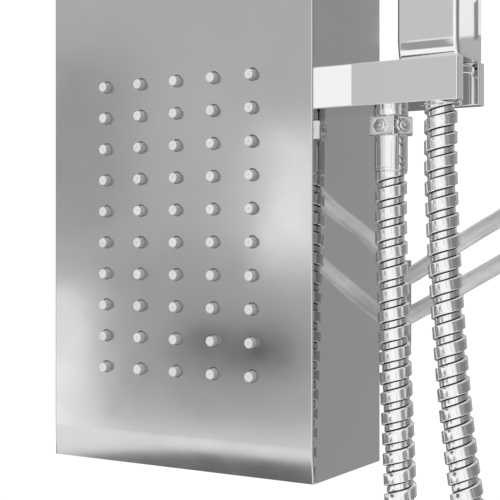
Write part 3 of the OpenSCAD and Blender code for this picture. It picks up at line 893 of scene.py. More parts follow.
    def cards(self) -> None:
        """Stands the cards that give the steel its soft tones."""
        wall, floor = -2.5, self.floor_level
        for name, step, (left, right), (low, high), glow in (
            ("front_card", 0.0, (-4.2, -0.95), (-1.0, 1.6), 0.58),
            ("front_shade_low", 0.03, (-1.95, -1.21), (-1.0, -0.48), 0.46),
            ("front_shade_left", 0.03, (-2.35, -1.85), (-0.45, 0.1), 0.42),
            ("front_glow_right", 0.05, (-1.36, -1.14), (-0.55, -0.16), 1.15),
            ("front_glow_left", 0.05, (-2.3, -1.96), (-1.2, -0.62), 1.3),
            ("front_flag", 0.07, (-1.62, -1.2), (-0.83, -0.72), 0.06),
            ("holder_glow", 0.07, (1.18, 1.38), (-0.2, 0.12), 1.4),
            ("holder_tone", 0.07, (-1.14, -0.7), (-0.2, 0.5), 0.59),
            ("handset_shade", 0.07, (-0.95, -0.775), (-1.03, -0.36), 0.34),
            ("nut_glow_front", 0.96, (1.85, 2.1), (-0.24, -0.12), 0.95),
            ("nut_glow_side", 3.6, (1.6, 1.8), (-0.27, -0.13), 0.6),
            ("handset_glow", 4.8, (0.9, 1.17), (0.06, 1.2), 0.92),
        ):
            self.card(name, (left, wall + step - 0.01, low), (right, wall + step, high), glow)
        for name, (left, right), (near, far), glow in (
            ("floor_flag", (-1.0, -0.4), (-1.57, -0.8), 0.15),
            ("floor_glow_front", (-2.2, -0.5), (-2.6, -1.59), 1.0),
            ("floor_glow_left", (-2.0, -1.02), (-1.58, -0.8), 1.0),
        ):
            self.card(name, (left, near, floor + 0.002), (right, far, floor + 0.004), glow)

    def lamps(self) -> None:
        """Hangs a soft key light and a soft top light."""
        for name, place, aim, size, power in (
            ("key_light", (1.4, -1.9, 0.7), (0.0, 0.0, -0.5), 0.9, 18.0),
            ("top_light", (-0.6, -1.2, 1.7), (0.0, 0.0, -0.3), 1.2, 16.0),
        ):
            lamp = bpy.data.lights.new(name, "AREA")
            lamp.energy = power
            lamp.size = size
            light = bpy.data.objects.new(name, lamp)
            light.visible_glossy = False
            light.location = place
            light.rotation_euler = (Vector(aim) - Vector(place)).to_track_quat("-Z", "Y").to_euler()
            bpy.context.collection.objects.link(light)


# ------------------------------------------------------------------ hoses


@dataclass
class HoseRoute:
    """A hose's centreline through given points, in metres."""

    points: Sequence[Point]

    def fine(self, count: int) -> np.ndarray:
        """Smooths the route and spaces it evenly.

        Args:
            count: number of points wanted.

        Returns:
            An array of evenly spaced points.
        """
        knots = np.array(self.points, float)
        before = 2 * knots[0] - knots[1]
        after = 2 * knots[-1] - knots[-2]
        padded = np.vstack([before, knots, after])
        parts = []
        for a, b, c, d in zip(padded, padded[1:], padded[2:], padded[3:]):
            t = np.linspace(0.0, 1.0, 24, endpoint=False)[:, None]
            parts.append(0.5 * (2 * b + (c - a) * t + (2 * a - 5 * b + 4 * c - d) * t ** 2
                                + (3 * b - a - 3 * c + d) * t ** 3))
        line = np.vstack(parts + [knots[-1:]])
        run = np.concatenate([[0.0], np.cumsum(np.linalg.norm(np.diff(line, axis=0), axis=1))])
        even = np.linspace(0.0, run[-1], count)
        return np.column_stack([np.interp(even, run, line[:, k]) for k in range(3)])

    def length(self) -> float:
        """Returns the route's length in metres."""
        line = self.fine(600)
        return float(np.linalg.norm(np.diff(line, axis=0), axis=1).sum())

    def frames(self, count: int) -> tuple[np.ndarray, np.ndarray, np.ndarray, float]:
        """Gives even points with two directions across the hose at each.

        Args:
            count: number of points.

        Returns:
            The points, the two arrays of unit directions across, and the length.
        """
        line = self.fine(count)
        along = np.gradient(line, axis=0)
        along /= np.linalg.norm(along, axis=1)[:, None]
        side = np.cross(np.array([0.0, 1.0, 0.0]), along)
        side /= np.linalg.norm(side, axis=1)[:, None]
        other = np.cross(along, side)
        return line, side, other, self.length()


@dataclass
class SpiralHose:
    """The stainless spiral hose: a raised band wound over a narrower one."""

    route: HoseRoute
    name: str = "spiral_hose"
    outer: float = 7.5 * MM
    inner: float = 6.1 * MM
    pitch: float = 9.2 * MM
    around: int = 40
    wind: int = 1

    # (share of the pitch, share of the step from inner to outer)
    PROFILE = ((0.00, -0.40), (0.045, -0.40), (0.055, 0.60), (0.075, 0.93), (0.10, 1.00), (0.15, 0.95),
               (0.35, 0.94), (0.55, 0.95), (0.60, 1.00), (0.625, 0.93), (0.645, 0.60), (0.655, -0.40),
               (0.70, -0.40), (0.715, 0.00), (0.85, 0.05), (0.985, 0.00))
    # Rows of the profile that start a gap between the two bands; their faces get the black finish, painted shade
    # in the grooves
    GROOVE_SHADE_ROWS = (0, 11)

    def build(self) -> Piece:
        """Winds the hose as one mesh whose rows follow the band's edges.

        Returns:
            The hose.
        """
        line, side, other, length = self.route.frames(1400)
        run = np.linspace(0.0, length, len(line))
        rows = len(self.PROFILE)
        turns = int(length / self.pitch)
        pitch = length / turns
        total = rows * (turns + 2)
        row = np.arange(total)
        start = (row // rows - 1 + np.array([p[0] for p in self.PROFILE])[row % rows]) * pitch
        radius = self.inner + (self.outer - self.inner) * np.array([p[1] for p in self.PROFILE])[row % rows]
        columns = []
        for k in range(self.around):
            place = np.clip(start + pitch * k / self.around, 0.0, length)
            angle = self.wind * 2 * math.pi * k / self.around
            middle, a, b = (np.column_stack([np.interp(place, run, part[:, n]) for n in range(3)])
                            for part in (line, side, other))
            columns.append(middle + radius[:, None] * (math.cos(angle) * a + math.sin(angle) * b))
        points = np.stack(columns, axis=1).reshape(-1, 3)
        n = self.around
        faces, slots = [], []
        for k in range(n):
            step = rows if k == n - 1 else 0
            for r in range(total - 1 - step):
                left, right = r * n + k, (r + step) * n + (k + 1) % n
                faces.append((left, left + n, right + n, right))
                slots.append(int(r % rows in self.GROOVE_SHADE_ROWS))
        first, last = len(points), total - 1
        points = np.vstack([points, line[:1], line[-1:]])
        start_ring = list(range(n)) + [r * n for r in range(rows, 0, -1)]
        end_ring = [last * n + k for k in range(n)] + [(last - r) * n + n - 1 for r in range(1, rows + 1)]
        for ring, middle in ((start_ring, first), (end_ring, first + 1)):
            faces += [(a, b, middle) for a, b in zip(ring, ring[1:] + ring[:1])]
        slots += [0] * (len(faces) - len(slots))
        hose = from_grid(self.name, points, faces, slots=slots)
        return smooth(hose, 28.0)


@dataclass
class SupplyHose:
    """A plain sheathed supply hose."""

    route: HoseRoute
    name: str
    radius: float = 4.25 * MM
    around: int = 28
    spacing: float = 3.0 * MM

    def build(self) -> Piece:
        """Sweeps the hose as rings along its route, with a UV map that follows it.

        Returns:
            The hose.
        """
        count = int(self.route.length() / self.spacing)
        line, side, other, length = self.route.frames(count)
        n = self.around
        angles = np.arange(n) * 2 * math.pi / n
        ring = line[:, None, :] + self.radius * (np.cos(angles)[None, :, None] * side[:, None, :]
                                                 + np.sin(angles)[None, :, None] * other[:, None, :])
        points = np.vstack([ring.reshape(-1, 3), line[:1], line[-1:]])
        faces, uvs = [], []
        for r in range(count - 1):
            for k in range(n):
                faces.append((r * n + k, (r + 1) * n + k, (r + 1) * n + (k + 1) % n, r * n + (k + 1) % n))
                low, high = (v * length / (count - 1) / (2 * math.pi * self.radius) for v in (r, r + 1))
                uvs += [(k / n, low), (k / n, high), ((k + 1) / n, high), ((k + 1) / n, low)]
        for ring_start, middle in ((0, count * n), ((count - 1) * n, count * n + 1)):
            for k in range(n):
                faces.append((ring_start + k, ring_start + (k + 1) % n, middle))
                uvs += [(0.0, 0.0)] * 3
        hose = from_grid(self.name, points, faces, uvs)
        return smooth(hose, 40.0)


def from_grid(name: str, points: np.ndarray, faces: Sequence[Sequence[int]],
              uvs: Sequence[tuple[float, float]] | None = None,
              slots: Sequence[int] | None = None) -> Piece:
    """Makes a swept mesh from its points and faces and tidies it.

    Args:
        name: the piece's name.
        points: the vertices.
        faces: indices of each face's corners.
        uvs: a UV for each corner in turn, if it has them.
        slots: each face's material slot, if they differ.

    Returns:
        The new piece.
    """
    mesh = bpy.data.meshes.new(name)
    mesh.from_pydata(points.tolist(), [], [tuple(int(v) for v in face) for face in faces])
    if uvs is not None:
        layer = mesh.uv_layers.new(name="along")
        layer.data.foreach_set("uv", np.array(uvs, np.float32).ravel())
    if slots is not None:
        mesh.materials.append(None)
        mesh.materials.append(None)
        mesh.polygons.foreach_set("material_index", np.array(slots, np.int32))
    piece = bpy.data.objects.new(name, mesh)
    bpy.context.collection.objects.link(piece)
    take(piece)
    bpy.ops.object.mode_set(mode="EDIT")
    bpy.ops.mesh.select_all(action="SELECT")
    bpy.ops.mesh.remove_doubles(threshold=2e-6)
    bpy.ops.mesh.dissolve_degenerate(threshold=1e-6)
    bpy.ops.mesh.select_all(action="SELECT")
    bpy.ops.mesh.normals_make_consistent(inside=False)
    return done(piece)


# ----------------------------------------------------------------- casing


@dataclass
class Casing(Assembly):
    """The folded steel casing with its flanges, holes and rolled lower edge."""

    half_width: float = 75 * MM
    front: float = -130 * MM
    back: float = -60 * MM
    bottom: float = -600 * MM
    top: float = 600 * MM
    sheet: float = 1.2 * MM
    fold: float = 0.75 * MM
    flange: float = 14 * MM
    edge_strip: float = 16 * MM
    edge_roll: float = 0.95 * MM

    def build(self) -> None:
        """Folds the sheet, gives it thickness and cuts its holes."""
        casing = block("steel_casing", (-self.half_width, self.front, self.bottom),
                       (self.half_width, self.back, self.top))
        pick(casing, "FACE", lambda face: abs(face.normal.z) > 0.9 or face.normal.y > 0.9)
        bpy.ops.mesh.delete(type="FACE")
        for side in (-1, 1):
            pick(casing, "EDGE", lambda edge: self.upright(edge, side, self.back))
            bpy.ops.mesh.extrude_region_move(TRANSFORM_OT_translate={"value": (-side * self.flange, 0, 0)})
        pick(casing, "EDGE", lambda edge: self.upright(edge, 0, None) and self.is_fold(edge))
        bpy.ops.mesh.bevel(offset=self.fold, segments=6, affect="EDGES")
        done(casing)
        roll_foot(casing, self.bottom, self.edge_strip, (1.0, 0.75, 0.5, 0.3, 0.12),
                  self.front + self.fold * 0.9, self.edge_roll, 1.6)
        pick(casing, "FACE", lambda face: True)
        bpy.ops.mesh.normals_make_consistent(inside=False)
        done(casing)
        apply(casing, "SOLIDIFY", thickness=self.sheet, offset=-1.0 if self.faces_out(casing) else 1.0)
        cut(casing, [self.cutters()])
        polish(casing, 30.0)
        self.finishes.dress(casing, Finishes.SATIN_SHEET)
        casing.data.materials.append(self.finishes.get(Finishes.POLISHED_SHEET))
        for face in casing.data.polygons:
            face.material_index = int(abs(face.normal.x) > 0.9)
        stand_for(casing, "column", "satin_steel", "casing")

    def upright(self, edge: object, side: int, depth: float | None) -> bool:
        """Says whether an edge is an upright at a side and depth.

        Args:
            edge: the edge.
            side: -1, 1, or 0 for either.
            depth: its y, or None for any.

        Returns:
            Whether it is.
        """
        a, b = (vertex.co for vertex in edge.verts)
        tall = abs(a.z - b.z) > 0.5 and abs(a.x - b.x) < 1e-6
        return (tall and (side == 0 or abs(a.x - side * self.half_width) < 1e-6)
                and (depth is None or abs(a.y - depth) < 1e-6))

    def is_fold(self, edge: object) -> bool:
        """Says whether an upright edge joins two faces."""
        return len(edge.link_faces) == 2

    def faces_out(self, casing: Piece) -> bool:
        """Says whether the front sheet's normals point to the room."""
        front = next(face for face in casing.data.polygons
                     if abs(face.normal.y) > 0.99 and face.center.y < self.front + self.sheet)
        return front.normal.y < 0

    def cutters(self) -> Piece:
        """Gathers every hole's cutter into one object.

        Returns:
            The joined cutters.
        """
        through = (self.front - 5 * MM, self.front + 5 * MM)
        tools = [rod("hole", Axis.Y, (x + 0.1 * MM, 0, z + 0.25 * MM), 3.1 * MM, *through, 28)
                 for x, z in JetField.places()]
        for height, radius in ((-170, 21.4), (-40, 17.4), (500, 10.4)):
            tools.append(rod("hole", Axis.Y, (0, 0, height * MM), radius * MM, *through))
        tools.append(rod("hole", Axis.X, (0, -94 * MM, -420.3 * MM), 6.4 * MM, 70 * MM, 80 * MM))
        for side in (-1, 1):
            for height in (-591, -298, -262, 262, 298, 591):
                tools.append(rod("hole", Axis.Y, (side * 68 * MM, 0, height * MM), 2.1 * MM,
                                 self.back - 5 * MM, self.back + 5 * MM, 20))
        return join(tools, "holes")


@dataclass
class JetField(Assembly):
    """Fifty soft nibs on their mat behind the front sheet."""

    tip: float = -133.3 * MM
    mat_front: float = -128.8 * MM
    mat_back: float = -126.8 * MM

    @staticmethod
    def places() -> list[tuple[float, float]]:
        """Lists the nibs' sideways and upward places.

        Returns:
            (x, z) pairs in metres.
        """
        return [((1.0 + (i - 2) * 21.2) * MM, (-553.5 + j * 15.4) * MM)
                for i in range(5) for j in range(10)]

    def build(self) -> None:
        """Moulds one nib, copies it over the field and joins it to the mat."""
        tip, reach = self.tip / MM, (self.mat_front - self.tip) / MM
        profile = [(0.0, 0.25), (0.18, 0.25), (0.21, 0.04), (0.3, 0.0), (2.02, 0.0), (2.2, 0.05),
                   (2.33, 0.2), (2.4, 0.45), (2.62, 4.0), (2.7, reach)]
        nib = turn("nib", [(r, tip + h) for r, h in profile], Axis.Y, 28)
        smooth(nib, 50.0)
        nibs = repeat(nib, [(x, 0, z) for x, z in self.places()], "nibs")
        mat = block("mat", (-52.9 * MM, self.mat_front, -565.5 * MM),
                    (55.9 * MM, self.mat_back, -402.9 * MM))
        bevel(mat, 0.5 * MM, 2)
        mat = join([mat, nibs], "jet_nib_mat")
        self.finishes.dress(mat, Finishes.SILICONE)
        # every face that does not face the room (nib sides, mat) gets the darker silicone as painted shade; only
        # the front-facing tips stay pale
        mat.data.materials.append(self.finishes.get(Finishes.SILICONE_PAINTED_SHADE))
        for face in mat.data.polygons:
            face.material_index = int(face.normal.y > -0.9 or face.center.y > self.mat_front - MM)
        stand_for(mat, "column", "silicone", "jet_mat")


# ------------------------------------------------- hand shower and holder


@dataclass
class Holder(Assembly):
    """The chromed holder on the column's side, with its slot for the hand shower."""

    side: float = 75 * MM
    base_end: float = 84.2 * MM
    arm_end: float = 135.5 * MM
    front: float = -110.5 * MM
    back: float = -77.5 * MM
    bottom: float = -430 * MM
    top: float = -410.6 * MM
    slot_x: float = 121.1 * MM
    slot_radius: float = 9.3 * MM
    axis_y: float = -94 * MM
    edge: float = 0.54 * MM
    past: float = 10 * MM

    def build(self) -> None:
        """Builds the base block and the slotted arm."""
        base = block("holder_base_block", (self.side, self.front, self.bottom),
                     (self.base_end, self.back, self.top))
        soften(base, self.edge, lambda x: self.side + MM < x < self.base_end - MM)
        arm = block("holder_arm_block", (self.base_end, self.front, self.bottom),
                    (self.arm_end, self.back, self.top))
        low, high = self.bottom - self.past, self.top + self.past
        slot = rod("slot", Axis.Z, (self.slot_x, self.axis_y, 0), self.slot_radius, low, high, 64)
        mouth = block("mouth", (self.slot_x, self.axis_y - self.slot_radius, low),
                      (self.arm_end + self.past, self.axis_y + self.slot_radius, high))
        cut(arm, [slot, mouth])
        soften(arm, self.edge, lambda x: x > self.base_end + MM)
        self.hand_over(base, Finishes.CHROME, "column", "chrome", "holder_base")
        self.hand_over(arm, Finishes.CHROME, "column", "chrome", "holder_arm")


@dataclass
class HandShower(Assembly):
    """The square stick hand shower that stands in the holder."""

    left: float = 106.7 * MM
    right: float = 135.5 * MM
    front: float = -110.5 * MM
    back: float = -80 * MM
    bottom: float = -410.6 * MM
    top: float = -195.6 * MM
    axis_x: float = 121.1 * MM
    axis_y: float = -94 * MM
    window_half: float = 8.8 * MM
    foot: float = 9 * MM
    foot_roll: float = 1.7 * MM
    window_low: float = -305.6 * MM
    window_high: float = -209.6 * MM

    def build(self) -> None:
        """Builds the body, the spray plate, the nibs and the hose nut."""
        middle = (self.window_low + self.window_high) / 2
        places = [(self.axis_x + i * 5 * MM, 0, middle + j * 10 * MM)
                  for i in (-1, 0, 1) for j in range(-4, 5)]
        self.body()
        self.plate(places)
        self.nibs(places)
        self.nut()

    def window(self, name: str, margin: float, front: float, back: float) -> Piece:
        """Adds a box as wide and high as the spray window.

        Args:
            name: the box's name.
            margin: how much larger it is on each side.
            front: its front face's y.
            back: its back face's y.

        Returns:
            The box.
        """
        half = self.window_half + margin
        return block(name, (self.axis_x - half, front, self.window_low - margin),
                     (self.axis_x + half, back, self.window_high + margin))

    def body(self) -> None:
        """Shapes the square body with its rolled foot and its window."""
        body = block("stick_body", (self.left, self.front, self.bottom), (self.right, self.back, self.top))
        round_uprights(body, 2.1 * MM, 6)
        roll_foot(body, self.bottom, self.foot, (1.0, 0.8, 0.6, 0.45, 0.3, 0.15),
                  self.front + 2.2 * MM, self.foot_roll, 2)
        cut(body, [self.window("window", 2 * MM, self.front - 10 * MM, self.front + 1.3 * MM)])
        bevel(body, 0.6 * MM, 3, 60.0)
        self.hand_over(polish(body), Finishes.CHROME, "hand_shower", "chrome_plastic", "hand_body")

    def plate(self, places: Sequence[Point]) -> None:
        """Cuts the spray plate.

        Args:
            places: the nibs' places.
        """
        plate = self.window("spray_plate", 1.9 * MM, self.front, self.front + 1.2 * MM)
        through = (self.front - 10 * MM, self.front + 10 * MM)
        cut(plate, [join([rod("hole", Axis.Y, place, 1.6 * MM, *through, 20) for place in places],
                         "plate_holes")])
        bevel(plate, 0.25 * MM, 2)
        self.hand_over(polish(plate), Finishes.CHROME, "hand_shower", "chrome", "hand_plate")

    def nibs(self, places: Sequence[Point]) -> None:
        """Moulds the spray nibs on their pad.

        Args:
            places: the nibs' places.
        """
        front = self.front / MM
        profile = ((0.0, -0.5), (0.35, -0.5), (0.4, -1.45), (0.5, -1.5), (0.95, -1.5), (1.1, -1.35),
                   (1.45, 1.0), (1.45, 1.4))
        nib = turn("spray_nib", [(r, front + h) for r, h in profile], Axis.Y, 20)
        nibs = repeat(smooth(nib, 50.0), places, "spray_nibs")
        pad = self.window("pad", 0.0, self.front + 1.21 * MM, self.front + 1.29 * MM)
        self.hand_over(join([nibs, pad], "spray_nib_pad"), Finishes.SILICONE, "hand_shower", "silicone",
                       "hand_nibs")

    def nut(self) -> None:
        """Turns the hose nut with its groove."""
        profile = ((0.0, -430.0), (8.1, -430.0), (8.6, -429.7), (8.8, -429.0), (8.8, -415.7), (8.45, -415.3),
                   (8.45, -414.5), (8.8, -414.1), (8.8, -411.4), (8.3, -410.7), (0.0, -410.7))
        nut = lathe("hand_hose_nut", profile, (self.axis_x, self.axis_y, 0))
        self.hand_over(nut, Finishes.CHROME, "hand_shower", "chrome", "hand_nut")


@dataclass
class HoseOutlet(Assembly):
    """Stub, square swivel nut and sleeve under the holder."""

    # Number of the nut's front side, counted anticlockwise from its right side
    FRONT = 3

    axis_x: float = 96.5 * MM
    axis_y: float = -94 * MM
    nut_low: float = -442.9
    nut_high: float = -434.0
    nut_half: float = 7.25
    turned: float = math.radians(-14.3)
    boss_stretch: float = 1.35

    def build(self) -> None:
        """Builds the stub, the nut and the sleeve."""
        place = (self.axis_x, self.axis_y, 0.0)
        stub = lathe("outlet_stub_ring", ((0, -434), (7.6, -434), (8, -433.7), (8, -430.0), (0, -430.0)),
                     place)
        low, high, half = self.nut_low, self.nut_high, self.nut_half
        nut = bevel(brick("outlet_square_nut", (-half, -half, low), (half, half, high)), 0.55 * MM, 3)
        bosses = [self.boss(side, (low + high) / 2) for side in range(4)]
        nut = join([nut, *bosses], "outlet_square_nut")
        nut.data.transform(Matrix.Translation(place) @ Matrix.Rotation(self.turned, 4, "Z"))
        polish(nut, 28.0)
        sleeve = lathe("outlet_sleeve_ring",
                       ((0, -459.5), (7.0, -459.5), (7.5, -459.2), (7.7, -458.6), (7.7, -458.0),
                        (7.45, -457.8), (7.7, -457.5), (7.7, -443.3), (7.5, -442.95), (0, -442.9)), place)
        self.hand_over(stub, Finishes.CHROME, "column", "chrome", "outlet_stub")
        self.hand_over(nut, Finishes.CHROME, "outlet_swivel", "chrome", "outlet_nut")
        self.hand_over(sleeve, Finishes.CHROME, "outlet_swivel", "chrome", "outlet_sleeve")

    def boss(self, side: int, middle: float) -> Piece:
        """Turns one side's domed boss, with a six-sided skirt on the front side.

        Args:
            side: which side, 0 to the right, counted anticlockwise from above.
            middle: the boss's height in millimetres.

        Returns:
            The boss.
        """
        out = self.nut_half
        skirt = [(3.4, out - 0.4), (3.4, out + 0.15), (3.1, out + 0.45), (2.6, out + 0.55), (2.2, out + 0.5)]
        dome = [(2.0, out + 0.95), (1.7, out + 1.15), (1.0, out + 1.2), (0.0, out + 1.2)]
        if side == self.FRONT:
            pieces = [turn("boss", skirt, Axis.X, 6),
                      turn("dome", [(2.3, out), skirt[-1], *dome], Axis.X, 32)]
        else:
            pieces = [turn("boss", skirt + dome, Axis.X, 32)]
        boss = smooth(join(pieces, "boss"), 28.0)
        wide = Matrix.Diagonal((1.0, self.boss_stretch, 1.0, 1.0))
        quarter = Matrix.Rotation(side * math.pi / 2, 4, "Z")
        boss.data.transform(Matrix.Translation((0, 0, middle * MM)) @ quarter @ wide)
        return boss


# -------------------------------------------------------- hoses, declared


@dataclass
class Hoses(Assembly):
    """The spiral shower hose and the two supply hoses."""

    SHOWER = ((96.5, -94, -459.5), (96.5, -94, -485), (97.6, -94, -515), (98.8, -94, -550), (100.3, -94, -585),
              (101.6, -94, -620), (101.5, -94, -660), (98.5, -94, -700), (93, -94, -740), (87, -94, -780),
              (82.5, -94, -820), (81, -94, -860), (85, -94, -898), (96, -94, -931), (114, -94, -957),
              (137, -94, -970), (162, -94, -970), (184, -94, -957), (200, -94, -934), (208, -94, -902),
              (207, -94, -868), (200, -94, -832), (190, -94, -795), (178, -94, -758), (165, -94, -720),
              (153, -94, -682), (142.5, -94, -645), (134, -94, -608), (128.5, -94, -570), (125, -94, -532),
              (122.5, -94, -495), (121.1, -94, -460), (121.1, -94, -430))
    HOT = ((-20, -94, -240), (-20, -94, -262), (-20.2, -93, -288), (-20.8, -91, -314), (-21.4, -88, -340),
           (-22, -85, -366), (-22.6, -82, -392), (-23.2, -78, -418), (-23.7, -73, -444), (-24, -68, -472),
           (-20, -63, -498.6), (-8.6, -58, -518.4), (9, -53.5, -533.2), (27.2, -50, -540.3), (45.5, -47.5, -541.9),
           (62.4, -46, -538.8), (75, -44.2, -533.1), (95, -38.7, -521.5), (115, -33.1, -509.1), (130, -29, -500),
           (148, -25, -488.5), (166, -21, -474), (180, -18, -456), (186, -16, -432), (186, -16, -408))
    COLD = ((20, -94, -240), (20, -94, -262), (19.5, -92, -288), (18.5, -88, -314), (17, -83, -340),
            (15.5, -77, -366), (14, -71, -392), (12.5, -64, -418), (11.3, -57, -444), (11, -50, -475),
            (14.8, -45, -492.3), (25.6, -40, -506.4), (41.4, -34, -514.6), (55.6, -29.5, -515.8),
            (72.5, -24.5, -510.3), (84, -20, -502.8), (95, -16.5, -494.8), (108, -12, -486), (122, -9, -477.2),
            (135, -8, -467), (144, -9, -454), (149, -13, -440), (150, -16, -424), (150, -16, -408))

    def build(self) -> None:
        """Builds all three hoses with the pieces on them."""
        self.shower_hose()
        self.inner_ferrules()
        self.supply_hose("hot", self.HOT)
        self.supply_hose("cold", self.COLD)

    def route(self, points: Sequence[Point]) -> HoseRoute:
        """Turns a route in millimetres into metres."""
        return HoseRoute(in_metres(points))

    def shower_hose(self) -> None:
        """Hangs the spiral hose between the outlet and the hand shower."""
        route = self.route(self.SHOWER)
        hose = SpiralHose(route).build()
        # the groove rows get the black finish as painted shade between the bands
        for slot, finish in enumerate((Finishes.HOSE_CHROME, Finishes.GASKET_AND_GROOVE_SHADE)):
            hose.data.materials[slot] = self.finishes.get(finish)
        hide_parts("shower_hose")
        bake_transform(hose)
        self.weigh(hose, route)
        route.length()
        route.fine(240).tolist()
        log.info("%s: %d faces, %.3f m", hose.name, len(hose.data.polygons), route.length())

    def weigh(self, hose: Piece, route: HoseRoute) -> None:
        """Works out each vertex's share along the hose's length, from the foot of its loop to the hand shower; the
        shares are not stored.

        Args:
            hose: the hose.
            route: its route.
        """
        line = route.fine(600)
        foot = int(np.argmin(line[:, 2]))
        share = np.clip((np.arange(len(line)) - foot) / (len(line) - 1 - foot), 0.0, 1.0)
        share = share * share * (3 - 2 * share)
        count = len(hose.data.vertices)
        places = np.zeros(count * 3, np.float32)
        hose.data.vertices.foreach_get("co", places)
        places = places.reshape(-1, 3)
        weights = np.zeros(count, np.float32)
        for start in range(0, count, 4000):
            part = places[start:start + 4000]
            away = ((part[:, None, :] - line[None, :, :]) ** 2).sum(axis=2)
            weights[start:start + 4000] = share[away.argmin(axis=1)]

    def ferrule(self, name: str, place: Point, collar: bool) -> Piece:
        """Turns a crimped ferrule.

        Args:
            name: its name.
            place: the middle of its lower end.
            collar: whether it ends in a seat collar.

        Returns:
            The ferrule.
        """
        body = [(0, 0), (5.6, 0), (6.2, 0.4), (6.2, 4), (5.8, 4.6), (5.8, 6.2), (6.2, 6.8), (6.2, 9.4),
                (5.8, 10), (5.8, 11.6), (6.2, 12.2), (6.5, 13), (6.5, 21.5)]
        end = [(8.5, 22), (8.5, 25), (2.2, 25), (2.2, 22)] if collar else [(6.2, 22), (0, 22)]
        if collar:
            body[-1] = (6.5, 22)
        return lathe(name, body + end, place, steps=40)

    def inner_ferrules(self) -> None:
        """Puts a ferrule on each supply hose's end inside the column."""
        ends = in_metres((self.HOT[0], self.COLD[0]))
        ferrules = join([self.ferrule("inner_ferrule", end, False) for end in ends], "inner_ferrules")
        self.hand_over(ferrules, Finishes.ZINC, "column", "chrome", "supply_ferrules")

    def supply_hose(self, name: str, points: Sequence[Point]) -> None:
        """Runs one supply hose from its ferrule in the column to its union nut.

        Args:
            name: "hot" or "cold".
            points: its route in millimetres.
        """
        route = self.route(points)
        hose = SupplyHose(route, f"supply_hose_{name}_sheath").build()
        self.hand_over(hose, Finishes.BRAID, "column", "braided_hose", f"supply_hose_{name}")
        end = route.points[-1]
        ferrule = self.ferrule(f"outer_ferrule_{name}", end, True)
        self.hand_over(ferrule, Finishes.ZINC, "column", "chrome")
        nut = self.union_nut(f"union_nut_{name}", end)
        self.hand_over(nut, Finishes.CHROME, f"{name}_union", "chrome", f"supply_nut_{name}")
        route.length()
        route.fine(160).tolist()
        log.info("%s: %.3f m", hose.name, route.length())

    def union_nut(self, name: str, end: Point) -> Piece:
        """Turns a captive hexagon union nut.

        Args:
            name: its name.
            end: the hose's end point.

        Returns:
            The nut.
        """
        shell = turn(name, ((6.6, 20.0), (12.6, 20.0), (13.5, 20.8), (13.5, 39.2), (12.6, 40.0),
                            (9.9, 40.0)), steps=6)
        thread = [(9.9, 40.0)]
        for ridge in range(9):
            height = 39.2 - ridge * 1.55
            thread += [(9.3, height), (9.3, height - 0.4), (9.75, height - 0.85), (9.75, height - 1.1)]
        bore = turn("thread", thread + [(8.9, 25.2), (8.9, 22.0), (6.6, 22.0), (6.6, 20.0)])
        pick(bore, "FACE", lambda face: True)
        bpy.ops.mesh.normals_make_consistent(inside=True)
        done(bore)
        nut = join([shell, bore], name)
        nut.data.transform(Matrix.Translation(end))
        return polish(nut, 28.0)


# --------------------------------------------------- controls and covers


